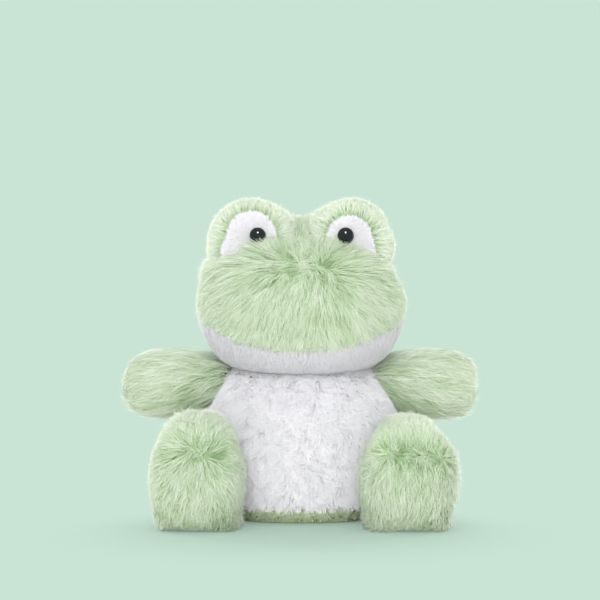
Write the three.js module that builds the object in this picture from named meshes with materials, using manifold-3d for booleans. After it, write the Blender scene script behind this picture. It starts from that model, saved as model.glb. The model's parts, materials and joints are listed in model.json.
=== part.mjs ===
// Plush frog, sitting. Sewn fur panels over polyester stuffing, with a pellet pouch in the seat,
// two safety eyes held by washers, and arms, legs and head that flex at their sewn seams.
// Millimetres, +Z up. The frog faces -Y and sits on z = 0, with the middle of its seat near the origin.
// Right and left are the frog's own, so its right arm is on the -X side.

import * as THREE from "three";
import { mergeVertices } from "three/addons/utils/BufferGeometryUtils.js";
import Module from "manifold-3d";

const wasm = await Module();
wasm.setup();

// Fabric and fits
const furThickness = 5; // long pile fabric, backing and packed pile together
const patchThickness = 3; // short pile of the eye patches
const seamGap = 0.3; // between pieces that are sewn or pressed together
const flexClearance = 0.5; // kept round a piece that flexes past another
const cutOverrun = 5; // how far a cutter reaches past what it cuts

// Torso: a bell that is widest low down
const torso = { height: 95, halfWidth: 64.5, halfDepth: 50, sideSeamY: 6 };
const torsoBoxiness = 2.2;
const torsoRingShares = [
  { up: 0, wide: 0.8, deep: 0.83 },
  { up: 0.045, wide: 0.89, deep: 0.91 },
  { up: 0.13, wide: 0.96, deep: 0.97 },
  { up: 0.3, wide: 1, deep: 1 },
  { up: 0.48, wide: 0.99, deep: 0.99 },
  { up: 0.64, wide: 0.97, deep: 0.93 },
  { up: 0.77, wide: 0.91, deep: 0.84 },
  { up: 0.88, wide: 0.82, deep: 0.68 },
  { up: 0.96, wide: 0.7, deep: 0.5 },
  { up: 1, wide: 0.56, deep: 0.36 },
];
const base = { rim: 6.5 }; // height of the green bottom panel's turned-up edge
const pouch = { halfWidth: 34, halfDepth: 27, height: 24 };
const pouchRingShares = [
  { up: 0, wide: 0.72, deep: 0.72 },
  { up: 0.22, wide: 0.96, deep: 0.96 },
  { up: 0.5, wide: 1, deep: 1 },
  { up: 0.82, wide: 0.8, deep: 0.8 },
  { up: 1, wide: 0.4, deep: 0.4 },
];

// Neck: the stuffing's dome, which the head turns on
const neck = { radius: 26, sink: 5.5, pivotDrop: 12, nodDown: 7, nodUp: 12 };

// Head: wide, low and pushed forward into the muzzle
const head = { height: 97, halfWidth: 65.5, halfDepth: 56, crownSeamY: 6, jawSeamY: 16 };
const headBoxiness = 2.3;
const headRingShares = [
  { up: 0, wide: 0.4, deep: 0.52, forward: 0.06 },
  { up: 0.014, wide: 0.5, deep: 0.61, forward: 0.07 },
  { up: 0.04, wide: 0.66, deep: 0.72, forward: 0.085 },
  { up: 0.104, wide: 0.8, deep: 0.83, forward: 0.1 },
  { up: 0.197, wide: 0.895, deep: 0.92, forward: 0.115 },
  { up: 0.307, wide: 0.965, deep: 0.98, forward: 0.12 },
  { up: 0.43, wide: 1, deep: 1, forward: 0.12 },
  { up: 0.55, wide: 0.985, deep: 0.985, forward: 0.11 },
  { up: 0.66, wide: 0.945, deep: 0.945, forward: 0.1 },
  { up: 0.75, wide: 0.87, deep: 0.86, forward: 0.08 },
  { up: 0.83, wide: 0.76, deep: 0.71, forward: 0.05 },
  { up: 0.9, wide: 0.61, deep: 0.53, forward: 0.01 },
  { up: 0.96, wide: 0.41, deep: 0.34, forward: -0.01 },
  { up: 1, wide: 0.14, deep: 0.12, forward: -0.01 },
];
const mouth = { middleUp: 14.5, cornerUp: 35 }; // height of the mouth seam over the head's underside
const mouthCurve = 2.4;

// Eye bumps, each a short thick dome that looks forward
const bump = { halfWidth: 27.5, halfHeight: 27, length: 54, apart: 61, frontY: -41, topOver: 11 };
const bumpRingShares = [
  { along: 0, round: 0.33 },
  { along: 0.024, round: 0.56 },
  { along: 0.06, round: 0.72 },
  { along: 0.12, round: 0.86 },
  { along: 0.22, round: 0.97 },
  { along: 0.37, round: 1 },
  { along: 0.6, round: 0.94 },
  { along: 0.83, round: 0.72 },
  { along: 1, round: 0.34 },
];
const patchRoundShare = 0.68; // the white patch's radius, as a share of its bump's

// Safety eyes: a domed head on a ribbed stem, locked from inside by a washer
const eye = { radius: 5, domeHeight: 4.2, rim: 0.8, stemRadius: 1.6, stemLength: 13, apart: 53 };
const eyeAbovePatchMiddle = 4;
const washer = { radius: 5.6, thickness: 1.6, behindPatch: 2 };

// Arms: paddles that stand out from the shoulder seams
const arm = { length: 59.5, halfHeight: 20.8, halfDepth: 18.5, lift: 1 };
const armRingShares = [
  { along: -0.12, wide: 0.5, deep: 0.5 },
  { along: 0.02, wide: 0.68, deep: 0.66 },
  { along: 0.18, wide: 0.86, deep: 0.86 },
  { along: 0.38, wide: 0.99, deep: 0.99 },
  { along: 0.58, wide: 1, deep: 1 },
  { along: 0.75, wide: 0.96, deep: 0.93 },
  { along: 0.88, wide: 0.83, deep: 0.8 },
  { along: 0.96, wide: 0.62, deep: 0.6 },
  { along: 1, wide: 0.42, deep: 0.42 },
];
const shoulder = { radius: 11, inset: 4, seamLean: 34, forward: 20, back: 20 };
const shoulderUpShare = 0.87; // of the torso's height

// Legs: thick drums that point forward, with flat undersides
const leg = { length: 86, halfWidth: 30.5, height: 69, apart: 126, frontY: -93, pressed: 3.5 };
const legSeamUpShare = 0.64; // of the leg's height
const legBoxiness = 2.5;
const legRingShares = [
  { along: 0, wide: 0.42, deep: 0.42 },
  { along: 0.03, wide: 0.64, deep: 0.64 },
  { along: 0.09, wide: 0.83, deep: 0.83 },
  { along: 0.19, wide: 0.95, deep: 0.95 },
  { along: 0.34, wide: 1, deep: 1 },
  { along: 0.55, wide: 0.99, deep: 0.98 },
  { along: 0.75, wide: 0.88, deep: 0.86 },
  { along: 0.9, wide: 0.64, deep: 0.64 },
  { along: 1, wide: 0.34, deep: 0.34 },
];
const hip = { radius: 17, lift: 25 };
const hipOutShare = 0.77; // of the torso's half width
const hipForwardShare = 0.56; // of the torso's half depth
const hipUpShare = 0.48; // of the leg's height

// Facets round each form
const outerFacets = 22;
const innerFacets = 12;
const limbFacets = 16;
const limbInnerFacets = 10;
const ballFacets = 12;
const smallFacets = 14;
const flexFacets = 16; // of the shapes that a swept cut is made of
const flexSteps = 4; // poses that a swept cut is made of, over the joint's range
const smoothing = 0.17; // how far a face may move where needless facets are joined

// Fabrics and hard parts, with their colours as seen
const greenFur = new THREE.MeshStandardMaterial({ color: 0xb9dca6, roughness: 0.95, metalness: 0 });
const whiteFur = new THREE.MeshStandardMaterial({ color: 0xf0eef2, roughness: 0.95, metalness: 0 });
const whiteVelour = new THREE.MeshStandardMaterial({ color: 0xf3f1f5, roughness: 0.9, metalness: 0 });
const fibrefill = new THREE.MeshStandardMaterial({ color: 0xf6f6f2, roughness: 1, metalness: 0 });
const calico = new THREE.MeshStandardMaterial({ color: 0xe4dccb, roughness: 0.9, metalness: 0 });
const blackPlastic = new THREE.MeshStandardMaterial({ color: 0x0b0c0d, roughness: 0.08, metalness: 0 });
const clearPlastic = new THREE.MeshStandardMaterial({ color: 0xd9dcdc, roughness: 0.4, metalness: 0 });

// Solids from geometry

function solidOf(geometry) {
  const bare = geometry.clone();
  bare.deleteAttribute("normal");
  bare.deleteAttribute("uv");
  const merged = mergeVertices(bare, 1e-4);
  return new wasm.Manifold(
    new wasm.Mesh({
      numProp: 3,
      vertProperties: merged.attributes.position.array,
      triVerts: new Uint32Array(merged.index.array),
    }),
  );
}

function geometryOf(solid) {
  const mesh = solid.getMesh();
  const positions = new Float32Array(mesh.numVert * 3);
  for (let i = 0; i < mesh.numVert; i++) {
    const start = i * mesh.numProp;
    positions.set(mesh.vertProperties.subarray(start, start + 3), i * 3);
  }
  const geometry = new THREE.BufferGeometry();
  geometry.setAttribute("position", new THREE.BufferAttribute(positions, 3));
  geometry.setIndex(new THREE.BufferAttribute(new Uint32Array(mesh.triVerts), 1));
  geometry.computeVertexNormals();
  return geometry;
}

// The largest body of a solid, without the crumbs that a cut may leave beside it.
function mainBody(solid) {
  const bodies = solid.simplify(smoothing).decompose();
  return bodies.reduce((most, body) => (body.volume() > most.volume() ? body : most));
}

function unionOf(solids) {
  return solids.reduce((joined, solid) => joined.add(solid));
}

// A closed body through rings stacked along +Z, with flat ends. Each ring is a rounded rectangle whose
// corners fill out as boxiness goes over 2, which is an ellipse.
function ringForm(rings, facets, boxiness = 2) {
  const positions = [];
  const faces = [];
  const bulge = 2 / boxiness;
  for (const ring of rings) {
    for (let k = 0; k < facets; k++) {
      const angle = (2 * Math.PI * k) / facets;
      const across = Math.cos(angle);
      const along = Math.sin(angle);
      positions.push(
        (ring.x ?? 0) + ring.wide * Math.sign(across) * Math.abs(across) ** bulge,
        (ring.y ?? 0) + ring.deep * Math.sign(along) * Math.abs(along) ** bulge,
        ring.z,
      );
    }
  }
  for (let r = 0; r + 1 < rings.length; r++) {
    for (let k = 0; k < facets; k++) {
      const a = r * facets + k;
      const b = r * facets + ((k + 1) % facets);
      faces.push(a, b, b + facets, a, b + facets, a + facets);
    }
  }
  const first = rings[0];
  const last = rings[rings.length - 1];
  const bottom = positions.length / 3;
  positions.push(first.x ?? 0, first.y ?? 0, first.z);
  positions.push(last.x ?? 0, last.y ?? 0, last.z);
  const top = (rings.length - 1) * facets;
  for (let k = 0; k < facets; k++) {
    const next = (k + 1) % facets;
    faces.push(bottom, next, k);
    faces.push(bottom + 1, top + k, top + next);
  }
  const geometry = new THREE.BufferGeometry();
  geometry.setAttribute("position", new THREE.Float32BufferAttribute(positions, 3));
  geometry.setIndex(faces);
  return geometry;
}

// The same rings, standing off outwards by a distance, or inwards where it is negative.
function grown(rings, by) {
  const low = rings[0].z;
  const high = rings[rings.length - 1].z;
  const stretch = (high - low + 2 * by) / (high - low);
  return rings.map((ring) => ({
    ...ring,
    z: low - by + (ring.z - low) * stretch,
    wide: ring.wide + by,
    deep: ring.deep + by,
  }));
}

// How much wider a faceted ring is drawn for its flats to clear the round shape.
function roundedOut(facets) {
  return 1 / Math.cos(Math.PI / facets);
}

// A ball with its poles on the joint's axis, so that it turns in its socket like a wheel.
function ball(radius, { pivot, axis }) {
  const geometry = new THREE.SphereGeometry(radius, ballFacets, ballFacets / 2);
  geometry.applyQuaternion(new THREE.Quaternion().setFromUnitVectors(new THREE.Vector3(0, 1, 0), axis));
  geometry.translate(pivot.x, pivot.y, pivot.z);
  return solidOf(geometry);
}

// The room that such a ball turns in, clear of its flats.
function socket(radius, joint) {
  return ball(radius * roundedOut(ballFacets) + seamGap, joint);
}

// The inner forms need only every second ring.
function thinned(rings) {
  return rings.filter((ring, k) => k % 2 === 0 || k === rings.length - 1);
}

function box(low, high) {
  const size = high.clone().sub(low);
  const middle = high.clone().add(low).divideScalar(2);
  const geometry = new THREE.BoxGeometry(size.x, size.y, size.z);
  geometry.translate(middle.x, middle.y, middle.z);
  return solidOf(geometry);
}

// The shapes that a geometry passes through as it turns about a joint.
function swept(geometry, { pivot, axis }, degrees) {
  const solids = degrees.map((degree) => {
    const turned = geometry.clone();
    turned.translate(-pivot.x, -pivot.y, -pivot.z);
    turned.applyMatrix4(new THREE.Matrix4().makeRotationAxis(axis, THREE.MathUtils.degToRad(degree)));
    turned.translate(pivot.x, pivot.y, pivot.z);
    return solidOf(turned);
  });
  return unionOf(solids).simplify(smoothing);
}

function stepsBetween(from, to) {
  return Array.from({ length: flexSteps + 1 }, (_, k) => from + ((to - from) * k) / flexSteps);
}

// The rings that a flexing neighbour keeps clear of, with room for the flats between fewer facets.
function cleared(rings) {
  const room = roundedOut(flexFacets);
  return grown(rings, flexClearance).map((ring) => ({ ...ring, wide: ring.wide * room, deep: ring.deep * room }));
}

// How wide a stack of rings is at a height.
function wideAt(rings, z) {
  const above = Math.max(1, rings.findIndex((ring) => ring.z >= z));
  const low = rings[above - 1];
  const high = rings[above];
  return THREE.MathUtils.mapLinear(z, low.z, high.z, low.wide, high.wide);
}

// Everything in reach of the frog, cut by planes
const reach = torso.height + head.height + torso.halfWidth;
const everywhere = { low: new THREE.Vector3(-reach, -reach, -reach), high: new THREE.Vector3(reach, reach, reach) };

function slab(limits) {
  const low = everywhere.low.clone();
  const high = everywhere.high.clone();
  Object.assign(low, limits.low);
  Object.assign(high, limits.high);
  return box(low, high);
}

const belowFloor = slab({ high: { z: 0 } });

// Places of the joints
const torsoRings = torsoRingShares.map(({ up, wide, deep }) => ({
  z: up * torso.height,
  wide: wide * torso.halfWidth,
  deep: deep * torso.halfDepth,
}));
// Positive nods the chin down.
const neckJoint = {
  pivot: new THREE.Vector3(0, 0, torso.height - neck.pivotDrop),
  axis: new THREE.Vector3(1, 0, 0),
};
const shoulderZ = shoulderUpShare * torso.height;
const shoulderX = wideAt(torsoRings, shoulderZ) - shoulder.inset;

// The shoulder seam runs down and outwards, and the arm flaps about it. Positive turns the arm back.
function shoulderJoint(side) {
  const lean = THREE.MathUtils.degToRad(shoulder.seamLean);
  return {
    pivot: new THREE.Vector3(side * shoulderX, 0, shoulderZ),
    axis: new THREE.Vector3(-Math.sin(lean), 0, side * Math.cos(lean)),
  };
}

// Positive lifts the leg's foot.
function hipJoint(side) {
  return {
    pivot: new THREE.Vector3(
      side * hipOutShare * torso.halfWidth,
      -hipForwardShare * torso.halfDepth,
      hipUpShare * leg.height,
    ),
    axis: new THREE.Vector3(-1, 0, 0),
  };
}

// Outer forms
const headBottom = torso.height - neck.sink;
const headRings = headRingShares.map(({ up, wide, deep, forward }) => ({
  z: headBottom + up * head.height,
  y: -forward * head.halfDepth,
  wide: wide * head.halfWidth,
  deep: deep * head.halfDepth,
}));
const bumpMiddleZ = headBottom + head.height + bump.topOver - bump.halfHeight;

function bumpForm(side, by, facets) {
  const rings = bumpRingShares.map(({ along, round }) => ({
    z: along * bump.length,
    wide: round * bump.halfWidth,
    deep: round * bump.halfHeight,
  }));
  const geometry = ringForm(grown(rings, by), facets);
  geometry.rotateX(-Math.PI / 2);
  geometry.translate((side * bump.apart) / 2, bump.frontY, bumpMiddleZ);
  return geometry;
}

function armForm(side, by, facets) {
  const rings = armRingShares.map(({ along, wide, deep }) => ({
    z: along * arm.length,
    wide: wide * arm.halfHeight,
    deep: deep * arm.halfDepth,
  }));
  const geometry = ringForm(grown(rings, by), facets);
  geometry.rotateY((side * Math.PI) / 2);
  geometry.translate(side * shoulderX, 0, shoulderZ + arm.lift);
  return geometry;
}

function legForm(side, by, facets) {
  const halfHeight = (leg.height + leg.pressed) / 2;
  const rings = legRingShares.map(({ along, wide, deep }) => ({
    z: along * leg.length,
    wide: wide * leg.halfWidth,
    deep: deep * halfHeight,
  }));
  const geometry = ringForm(grown(rings, by), facets, legBoxiness);
  geometry.rotateX(-Math.PI / 2);
  geometry.translate((side * leg.apart) / 2, leg.frontY, leg.height - halfHeight);
  return geometry;
}

const torsoOuter = ringForm(torsoRings, outerFacets, torsoBoxiness);
const torsoEnvelope = ringForm(cleared(torsoRings), flexFacets, torsoBoxiness);
const headOuter = solidOf(ringForm(headRings, outerFacets, headBoxiness));
const headEnvelope = ringForm(cleared(headRings), flexFacets, headBoxiness);
const rightSide = -1;
const leftSide = 1;
const sides = [
  { name: "right", side: rightSide },
  { name: "left", side: leftSide },
];

// Torso

function torsoPieces() {
  const outer = solidOf(torsoOuter);
  const insideRings = grown(thinned(torsoRings), -furThickness);
  const inside = solidOf(ringForm(insideRings, innerFacets, torsoBoxiness));
  const openings = unionOf([
    socket(neck.radius, neckJoint),
    ...sides.flatMap(({ side }) => [
      socket(shoulder.radius, shoulderJoint(side)),
      socket(hip.radius, hipJoint(side)),
    ]),
  ]);
  const shell = outer.subtract(inside).subtract(openings);
  const aboveBase = shell.intersect(slab({ low: { z: base.rim + seamGap / 2 } }));
  const seamY = torso.sideSeamY;
  const belly = aboveBase.intersect(slab({ high: { y: seamY - seamGap / 2 } }));
  const back = aboveBase.intersect(slab({ low: { y: seamY + seamGap / 2 } }));
  const bottom = shell.intersect(slab({ high: { z: base.rim - seamGap / 2 } }));

  const pouchFloor = furThickness + seamGap;
  const pouchRings = pouchRingShares.map(({ up, wide, deep }) => ({
    z: pouchFloor + up * pouch.height,
    wide: wide * pouch.halfWidth,
    deep: deep * pouch.halfDepth,
  }));
  const pouchRoomRings = grown(pouchRings, seamGap);
  const pouchDoor = { ...pouchRoomRings[0], z: pouchFloor - cutOverrun };
  const pouchRoom = solidOf(ringForm([pouchDoor, ...pouchRoomRings], smallFacets));
  const dome = ball(neck.radius, neckJoint);
  const sockets = unionOf(
    sides.flatMap(({ side }) => [
      socket(shoulder.radius, shoulderJoint(side)),
      socket(hip.radius, hipJoint(side)),
    ]),
  );
  const stuffing = solidOf(ringForm(grown(insideRings, -seamGap), innerFacets, torsoBoxiness))
    .add(dome)
    .subtract(sockets)
    .subtract(pouchRoom);
  return [
    { name: "belly_panel", solid: belly, material: whiteFur },
    { name: "back_panel", solid: back, material: greenFur },
    { name: "base_panel", solid: bottom, material: greenFur },
    { name: "body_stuffing", solid: stuffing, material: fibrefill },
    { name: "pellet_pouch", solid: solidOf(ringForm(pouchRings, smallFacets)), material: calico },
  ];
}

// Head

// The space under the mouth seam, which rises towards both corners of the mouth.
function underMouth(by) {
  const outline = new THREE.Shape();
  const steps = 10;
  const halfSpan = head.halfWidth + cutOverrun;
  outline.moveTo(-halfSpan, headBottom - cutOverrun);
  outline.lineTo(halfSpan, headBottom - cutOverrun);
  for (let k = steps; k >= -steps; k--) {
    const x = (halfSpan * k) / steps;
    const rise = Math.abs(x / head.halfWidth) ** mouthCurve;
    outline.lineTo(x, headBottom + mouth.middleUp + (mouth.cornerUp - mouth.middleUp) * rise + by);
  }
  const geometry = new THREE.ExtrudeGeometry(outline, { depth: reach, bevelEnabled: false, steps: 1 });
  geometry.rotateX(Math.PI / 2);
  geometry.translate(0, head.jawSeamY + by, 0);
  return solidOf(geometry);
}

function eyeAxisZ() {
  return bumpMiddleZ + eyeAbovePatchMiddle;
}

// A round tool that points forward along an eye's axis, between two distances behind the bump's front.
function eyeTool(side, radius, from, to) {
  const geometry = new THREE.CylinderGeometry(radius, radius, to - from, smallFacets);
  geometry.translate((side * eye.apart) / 2, bump.frontY + (from + to) / 2, eyeAxisZ());
  return solidOf(geometry);
}

function patchTool(side, radiusBy) {
  const halfWidth = patchRoundShare * bump.halfWidth + radiusBy;
  const halfHeight = patchRoundShare * bump.halfHeight + radiusBy;
  const geometry = new THREE.CylinderGeometry(halfWidth, halfWidth, bump.length / 2 + cutOverrun, limbFacets);
  geometry.scale(1, 1, halfHeight / halfWidth);
  geometry.translate((side * bump.apart) / 2, bump.frontY, bumpMiddleZ);
  return solidOf(geometry);
}

function eyeForm(side) {
  const profile = [new THREE.Vector2(0, eye.domeHeight)];
  const domeSteps = 6;
  for (let k = 1; k <= domeSteps; k++) {
    const turn = (Math.PI / 2) * (k / domeSteps);
    profile.push(
      new THREE.Vector2(
        eye.radius * Math.sin(turn),
        eye.rim + (eye.domeHeight - eye.rim) * Math.cos(turn),
      ),
    );
  }
  profile.push(new THREE.Vector2(eye.radius, 0));
  profile.push(new THREE.Vector2(eye.stemRadius, 0));
  profile.push(new THREE.Vector2(eye.stemRadius, -eye.stemLength));
  profile.push(new THREE.Vector2(0, -eye.stemLength));
  const geometry = new THREE.LatheGeometry(profile.reverse(), smallFacets);
  geometry.rotateX(Math.PI);
  geometry.translate((side * eye.apart) / 2, bump.frontY - seamGap, eyeAxisZ());
  return geometry;
}

function headPieces() {
  const insideRings = grown(thinned(headRings), -furThickness);
  const inside = solidOf(ringForm(insideRings, innerFacets, headBoxiness));
  const neckSweep = swept(torsoEnvelope, neckJoint, stepsBetween(-neck.nodDown, neck.nodUp));
  const neckOpening = socket(neck.radius, neckJoint).add(neckSweep);
  const bumpInsides = sides.map(({ side }) => solidOf(bumpForm(side, -furThickness, limbInnerFacets)));
  const shell = headOuter.subtract(inside).subtract(neckOpening).subtract(unionOf(bumpInsides));

  const jawSpace = underMouth(-seamGap / 2);
  const notJaw = shell.subtract(underMouth(seamGap / 2));
  const seamY = head.crownSeamY;
  const pieces = [
    { name: "jaw_panel", solid: shell.intersect(jawSpace), material: whiteFur },
    {
      name: "face_panel",
      solid: notJaw.intersect(slab({ high: { y: seamY - seamGap / 2 } })),
      material: greenFur,
    },
    {
      name: "crown_panel",
      solid: notJaw.intersect(slab({ low: { y: seamY + seamGap / 2 } })),
      material: greenFur,
    },
  ];

  const facePanel = pieces.find(({ name }) => name === "face_panel");
  const headSkin = solidOf(ringForm(grown(headRings, seamGap * roundedOut(outerFacets)), outerFacets, headBoxiness));
  const pockets = [];
  sides.forEach(({ name, side }, k) => {
    const dome = solidOf(bumpForm(side, 0, limbFacets)).subtract(bumpInsides[k]).subtract(headSkin);
    const front = solidOf(bumpForm(side, 0, limbFacets))
      .subtract(solidOf(bumpForm(side, -patchThickness, limbFacets)))
      .subtract(headSkin);
    const stemHole = eyeTool(side, eye.stemRadius + seamGap, -cutOverrun, eye.stemLength + cutOverrun);
    const washerFront = patchThickness + washer.behindPatch;
    const washerBack = washerFront + washer.thickness;
    pieces.push(
      { name: `${name}_eye_hood`, solid: dome.subtract(patchTool(side, seamGap / 2)), material: greenFur },
      {
        name: `${name}_eye_patch`,
        solid: front.intersect(patchTool(side, -seamGap / 2)).subtract(stemHole),
        material: whiteVelour,
      },
      { name: `${name}_eye`, solid: solidOf(eyeForm(side)), material: blackPlastic },
      {
        name: `${name}_eye_washer`,
        solid: eyeTool(side, washer.radius, washerFront, washerBack).subtract(stemHole),
        material: clearPlastic,
      },
    );
    const pocket = eyeTool(side, washer.radius + seamGap, washerFront - seamGap, washerBack + seamGap).add(
      eyeTool(side, eye.stemRadius + seamGap, -cutOverrun, eye.stemLength + 2 * seamGap),
    );
    facePanel.solid = facePanel.solid.subtract(pocket);
    pockets.push(pocket);
  });
  const stuffing = solidOf(ringForm(grown(insideRings, -seamGap), innerFacets, headBoxiness))
    .add(unionOf(sides.map(({ side }) => solidOf(bumpForm(side, -furThickness - seamGap, limbInnerFacets)))))
    .subtract(neckOpening)
    .subtract(unionOf(pockets));
  pieces.push({ name: "head_stuffing", solid: stuffing, material: fibrefill });
  return pieces;
}

// Arms

function armPieces({ name, side }) {
  const joint = shoulderJoint(side);
  const turns = stepsBetween(-shoulder.back, shoulder.forward);
  const torsoSweep = swept(torsoEnvelope, joint, turns);
  const nods = stepsBetween(-neck.nodUp, neck.nodDown);
  const headSweep = unionOf(
    nods.map((nod) => {
      const nodded = headEnvelope.clone();
      const { x, y, z } = neckJoint.pivot;
      nodded.translate(-x, -y, -z);
      nodded.rotateX(THREE.MathUtils.degToRad(nod));
      nodded.translate(x, y, z);
      return swept(nodded, joint, turns);
    }),
  );
  const cutter = torsoSweep.add(headSweep);
  const outer = solidOf(armForm(side, 0, limbFacets));
  const inside = solidOf(armForm(side, -furThickness, limbInnerFacets));
  const root = ball(shoulder.radius, joint);
  const shell = outer.subtract(inside).subtract(cutter).subtract(socket(shoulder.radius, joint));
  const stuffing = solidOf(armForm(side, -furThickness - seamGap, limbInnerFacets)).subtract(cutter).add(root);
  return [
    {
      name: `${name}_arm_front_panel`,
      solid: shell.intersect(slab({ high: { y: -seamGap / 2 } })),
      material: greenFur,
    },
    {
      name: `${name}_arm_back_panel`,
      solid: shell.intersect(slab({ low: { y: seamGap / 2 } })),
      material: greenFur,
    },
    { name: `${name}_arm_stuffing`, solid: stuffing, material: fibrefill },
  ];
}

// Legs

function legPieces({ name, side }) {
  const joint = hipJoint(side);
  const seamZ = legSeamUpShare * leg.height;
  const torsoSweep = swept(torsoEnvelope, joint, stepsBetween(-hip.lift, 0));
  const outer = solidOf(legForm(side, 0, limbFacets)).subtract(belowFloor);
  const inside = solidOf(legForm(side, -furThickness, limbInnerFacets)).intersect(
    slab({ low: { z: furThickness } }),
  );
  const root = ball(hip.radius, joint);
  const shell = outer.subtract(inside).subtract(torsoSweep).subtract(socket(hip.radius, joint));
  const stuffing = solidOf(legForm(side, -furThickness - seamGap, limbInnerFacets))
    .intersect(slab({ low: { z: furThickness + seamGap } }))
    .subtract(torsoSweep)
    .add(root);
  return [
    {
      name: `${name}_leg_top_panel`,
      solid: shell.intersect(slab({ low: { z: seamZ + seamGap / 2 } })),
      material: greenFur,
    },
    {
      name: `${name}_leg_sole_panel`,
      solid: shell.intersect(slab({ high: { z: seamZ - seamGap / 2 } })),
      material: greenFur,
    },
    { name: `${name}_leg_stuffing`, solid: stuffing, material: fibrefill },
  ];
}

// The frog as a scene graph, one group for each part that moves

function group(pieces, pivot) {
  const made = new THREE.Group();
  made.position.copy(pivot);
  for (const { name, solid, material } of pieces) {
    const geometry = geometryOf(mainBody(solid));
    geometry.translate(-pivot.x, -pivot.y, -pivot.z);
    const mesh = new THREE.Mesh(geometry, material);
    mesh.name = name;
    made.add(mesh);
  }
  return made;
}

const frog = new THREE.Group();
frog.name = "plush_frog";
frog.add(group(torsoPieces(), new THREE.Vector3()));
frog.add(group(headPieces(), neckJoint.pivot));
for (const where of sides) {
  frog.add(group(armPieces(where), shoulderJoint(where.side).pivot));
  frog.add(group(legPieces(where), hipJoint(where.side).pivot));
}

export default frog;
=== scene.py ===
import json
import math

import bpy
import numpy as np
from bpy.props import FloatProperty, FloatVectorProperty, PointerProperty
from mathutils import Matrix, Vector

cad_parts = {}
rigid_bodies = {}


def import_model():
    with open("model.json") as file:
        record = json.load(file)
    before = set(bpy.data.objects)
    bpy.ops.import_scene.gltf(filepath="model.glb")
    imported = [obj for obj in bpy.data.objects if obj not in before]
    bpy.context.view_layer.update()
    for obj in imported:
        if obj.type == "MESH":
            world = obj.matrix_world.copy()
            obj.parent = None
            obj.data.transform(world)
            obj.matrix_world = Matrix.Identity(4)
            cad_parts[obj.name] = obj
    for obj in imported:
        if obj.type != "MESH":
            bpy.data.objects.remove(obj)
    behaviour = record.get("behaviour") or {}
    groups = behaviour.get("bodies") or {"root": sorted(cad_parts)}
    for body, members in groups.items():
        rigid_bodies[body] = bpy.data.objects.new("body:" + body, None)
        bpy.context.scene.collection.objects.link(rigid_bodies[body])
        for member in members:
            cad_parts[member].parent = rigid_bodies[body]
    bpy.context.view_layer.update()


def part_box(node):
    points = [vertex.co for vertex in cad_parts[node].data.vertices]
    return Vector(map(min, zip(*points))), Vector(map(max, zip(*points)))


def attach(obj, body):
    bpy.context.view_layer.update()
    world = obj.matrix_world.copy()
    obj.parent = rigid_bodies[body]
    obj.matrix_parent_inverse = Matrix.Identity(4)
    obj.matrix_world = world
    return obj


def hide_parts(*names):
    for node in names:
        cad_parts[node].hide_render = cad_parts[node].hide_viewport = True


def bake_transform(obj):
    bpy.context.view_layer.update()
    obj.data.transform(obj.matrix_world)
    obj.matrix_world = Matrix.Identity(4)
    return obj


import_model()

bl_info = {
    "name": "Plush Frog",
    "version": (1, 0, 0),
    "blender": (4, 5, 0),
    "location": "View3D > Sidebar > Plush Frog",
    "description": "Long-pile fabric, eyes and studio for a sitting plush frog",
    "category": "Add Mesh",
}

MM = 0.001
FLOOR_CLEARANCE = 0.4 * MM  # how far above the floor the lowest strands lie
PAPER_SHADE = 0.66  # makes the lit floor as bright as the background behind it
BAKE_MAP = "OFBake"  # UV map whose V runs from a strand's root to its tip, and U from dark strands to pale ones

BACK_SEAM = 0.006  # how far behind the middle the belly's fabric meets the back's
CROWN_SEAM = 0.006  # how far behind the middle the face's fabric meets the crown's
JAW_END = 0.016  # how far behind the middle the jaw's fabric goes
LEG_SEAM = 0.044  # height of the seam round each leg
BUMP_FRONT = -0.041  # the flat fronts of the eye bumps
PATCH_BACK = -0.03  # the eye patches lie in front of this
EYE_BACK = -0.0413  # where the eyes lie on their patches
LEG_FRONT = -0.093  # the fronts of the feet
SHOULDER = (0.0494, 0, 0.0837)  # the left arm's start inside the torso
BASE_STRANDS, PATCH_STRANDS = 12000, 16000  # on the bottom panel, and on each eye patch
SIDES = (("right", -1), ("left", 1))

# Shares of each form's size, ring by ring: how far along, how wide, how deep, how far forward
TORSO_RINGS = [
    (0, 0.8, 0.83, 0), (0.045, 0.89, 0.91, 0), (0.13, 0.96, 0.97, 0), (0.3, 1, 1, 0), (0.48, 0.99, 0.99, 0),
    (0.64, 0.97, 0.93, 0), (0.77, 0.91, 0.84, 0), (0.88, 0.82, 0.68, 0), (0.96, 0.7, 0.5, 0), (1, 0.56, 0.36, 0),
]
BELLY_RINGS = TORSO_RINGS[:5] + [
    (0.64, 0.95, 0.93, 0), (0.77, 0.87, 0.89, 0), (0.88, 0.775, 0.8, 0), (0.945, 0.71, 0.7, 0),
    (0.985, 0.6, 0.56, 0), (1, 0.44, 0.4, 0),
]
HEAD_RINGS = [
    (0, 0.4, 0.52, 0.06), (0.014, 0.5, 0.61, 0.07), (0.04, 0.66, 0.72, 0.085), (0.104, 0.8, 0.83, 0.1),
    (0.197, 0.895, 0.92, 0.115), (0.307, 0.965, 0.98, 0.12), (0.43, 1, 1, 0.12), (0.55, 0.985, 0.985, 0.11),
    (0.66, 0.945, 0.945, 0.1), (0.75, 0.87, 0.86, 0.08), (0.83, 0.76, 0.71, 0.05), (0.9, 0.61, 0.53, 0.01),
    (0.96, 0.41, 0.34, -0.01), (1, 0.14, 0.12, -0.01),
]
BUMP_RINGS = [
    (0, 0.33, 0.33, 0), (0.024, 0.56, 0.56, 0), (0.06, 0.72, 0.72, 0), (0.12, 0.86, 0.86, 0), (0.22, 0.97, 0.97, 0),
    (0.37, 1, 1, 0), (0.6, 0.94, 0.94, 0), (0.83, 0.72, 0.72, 0), (1, 0.34, 0.34, 0),
]
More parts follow.
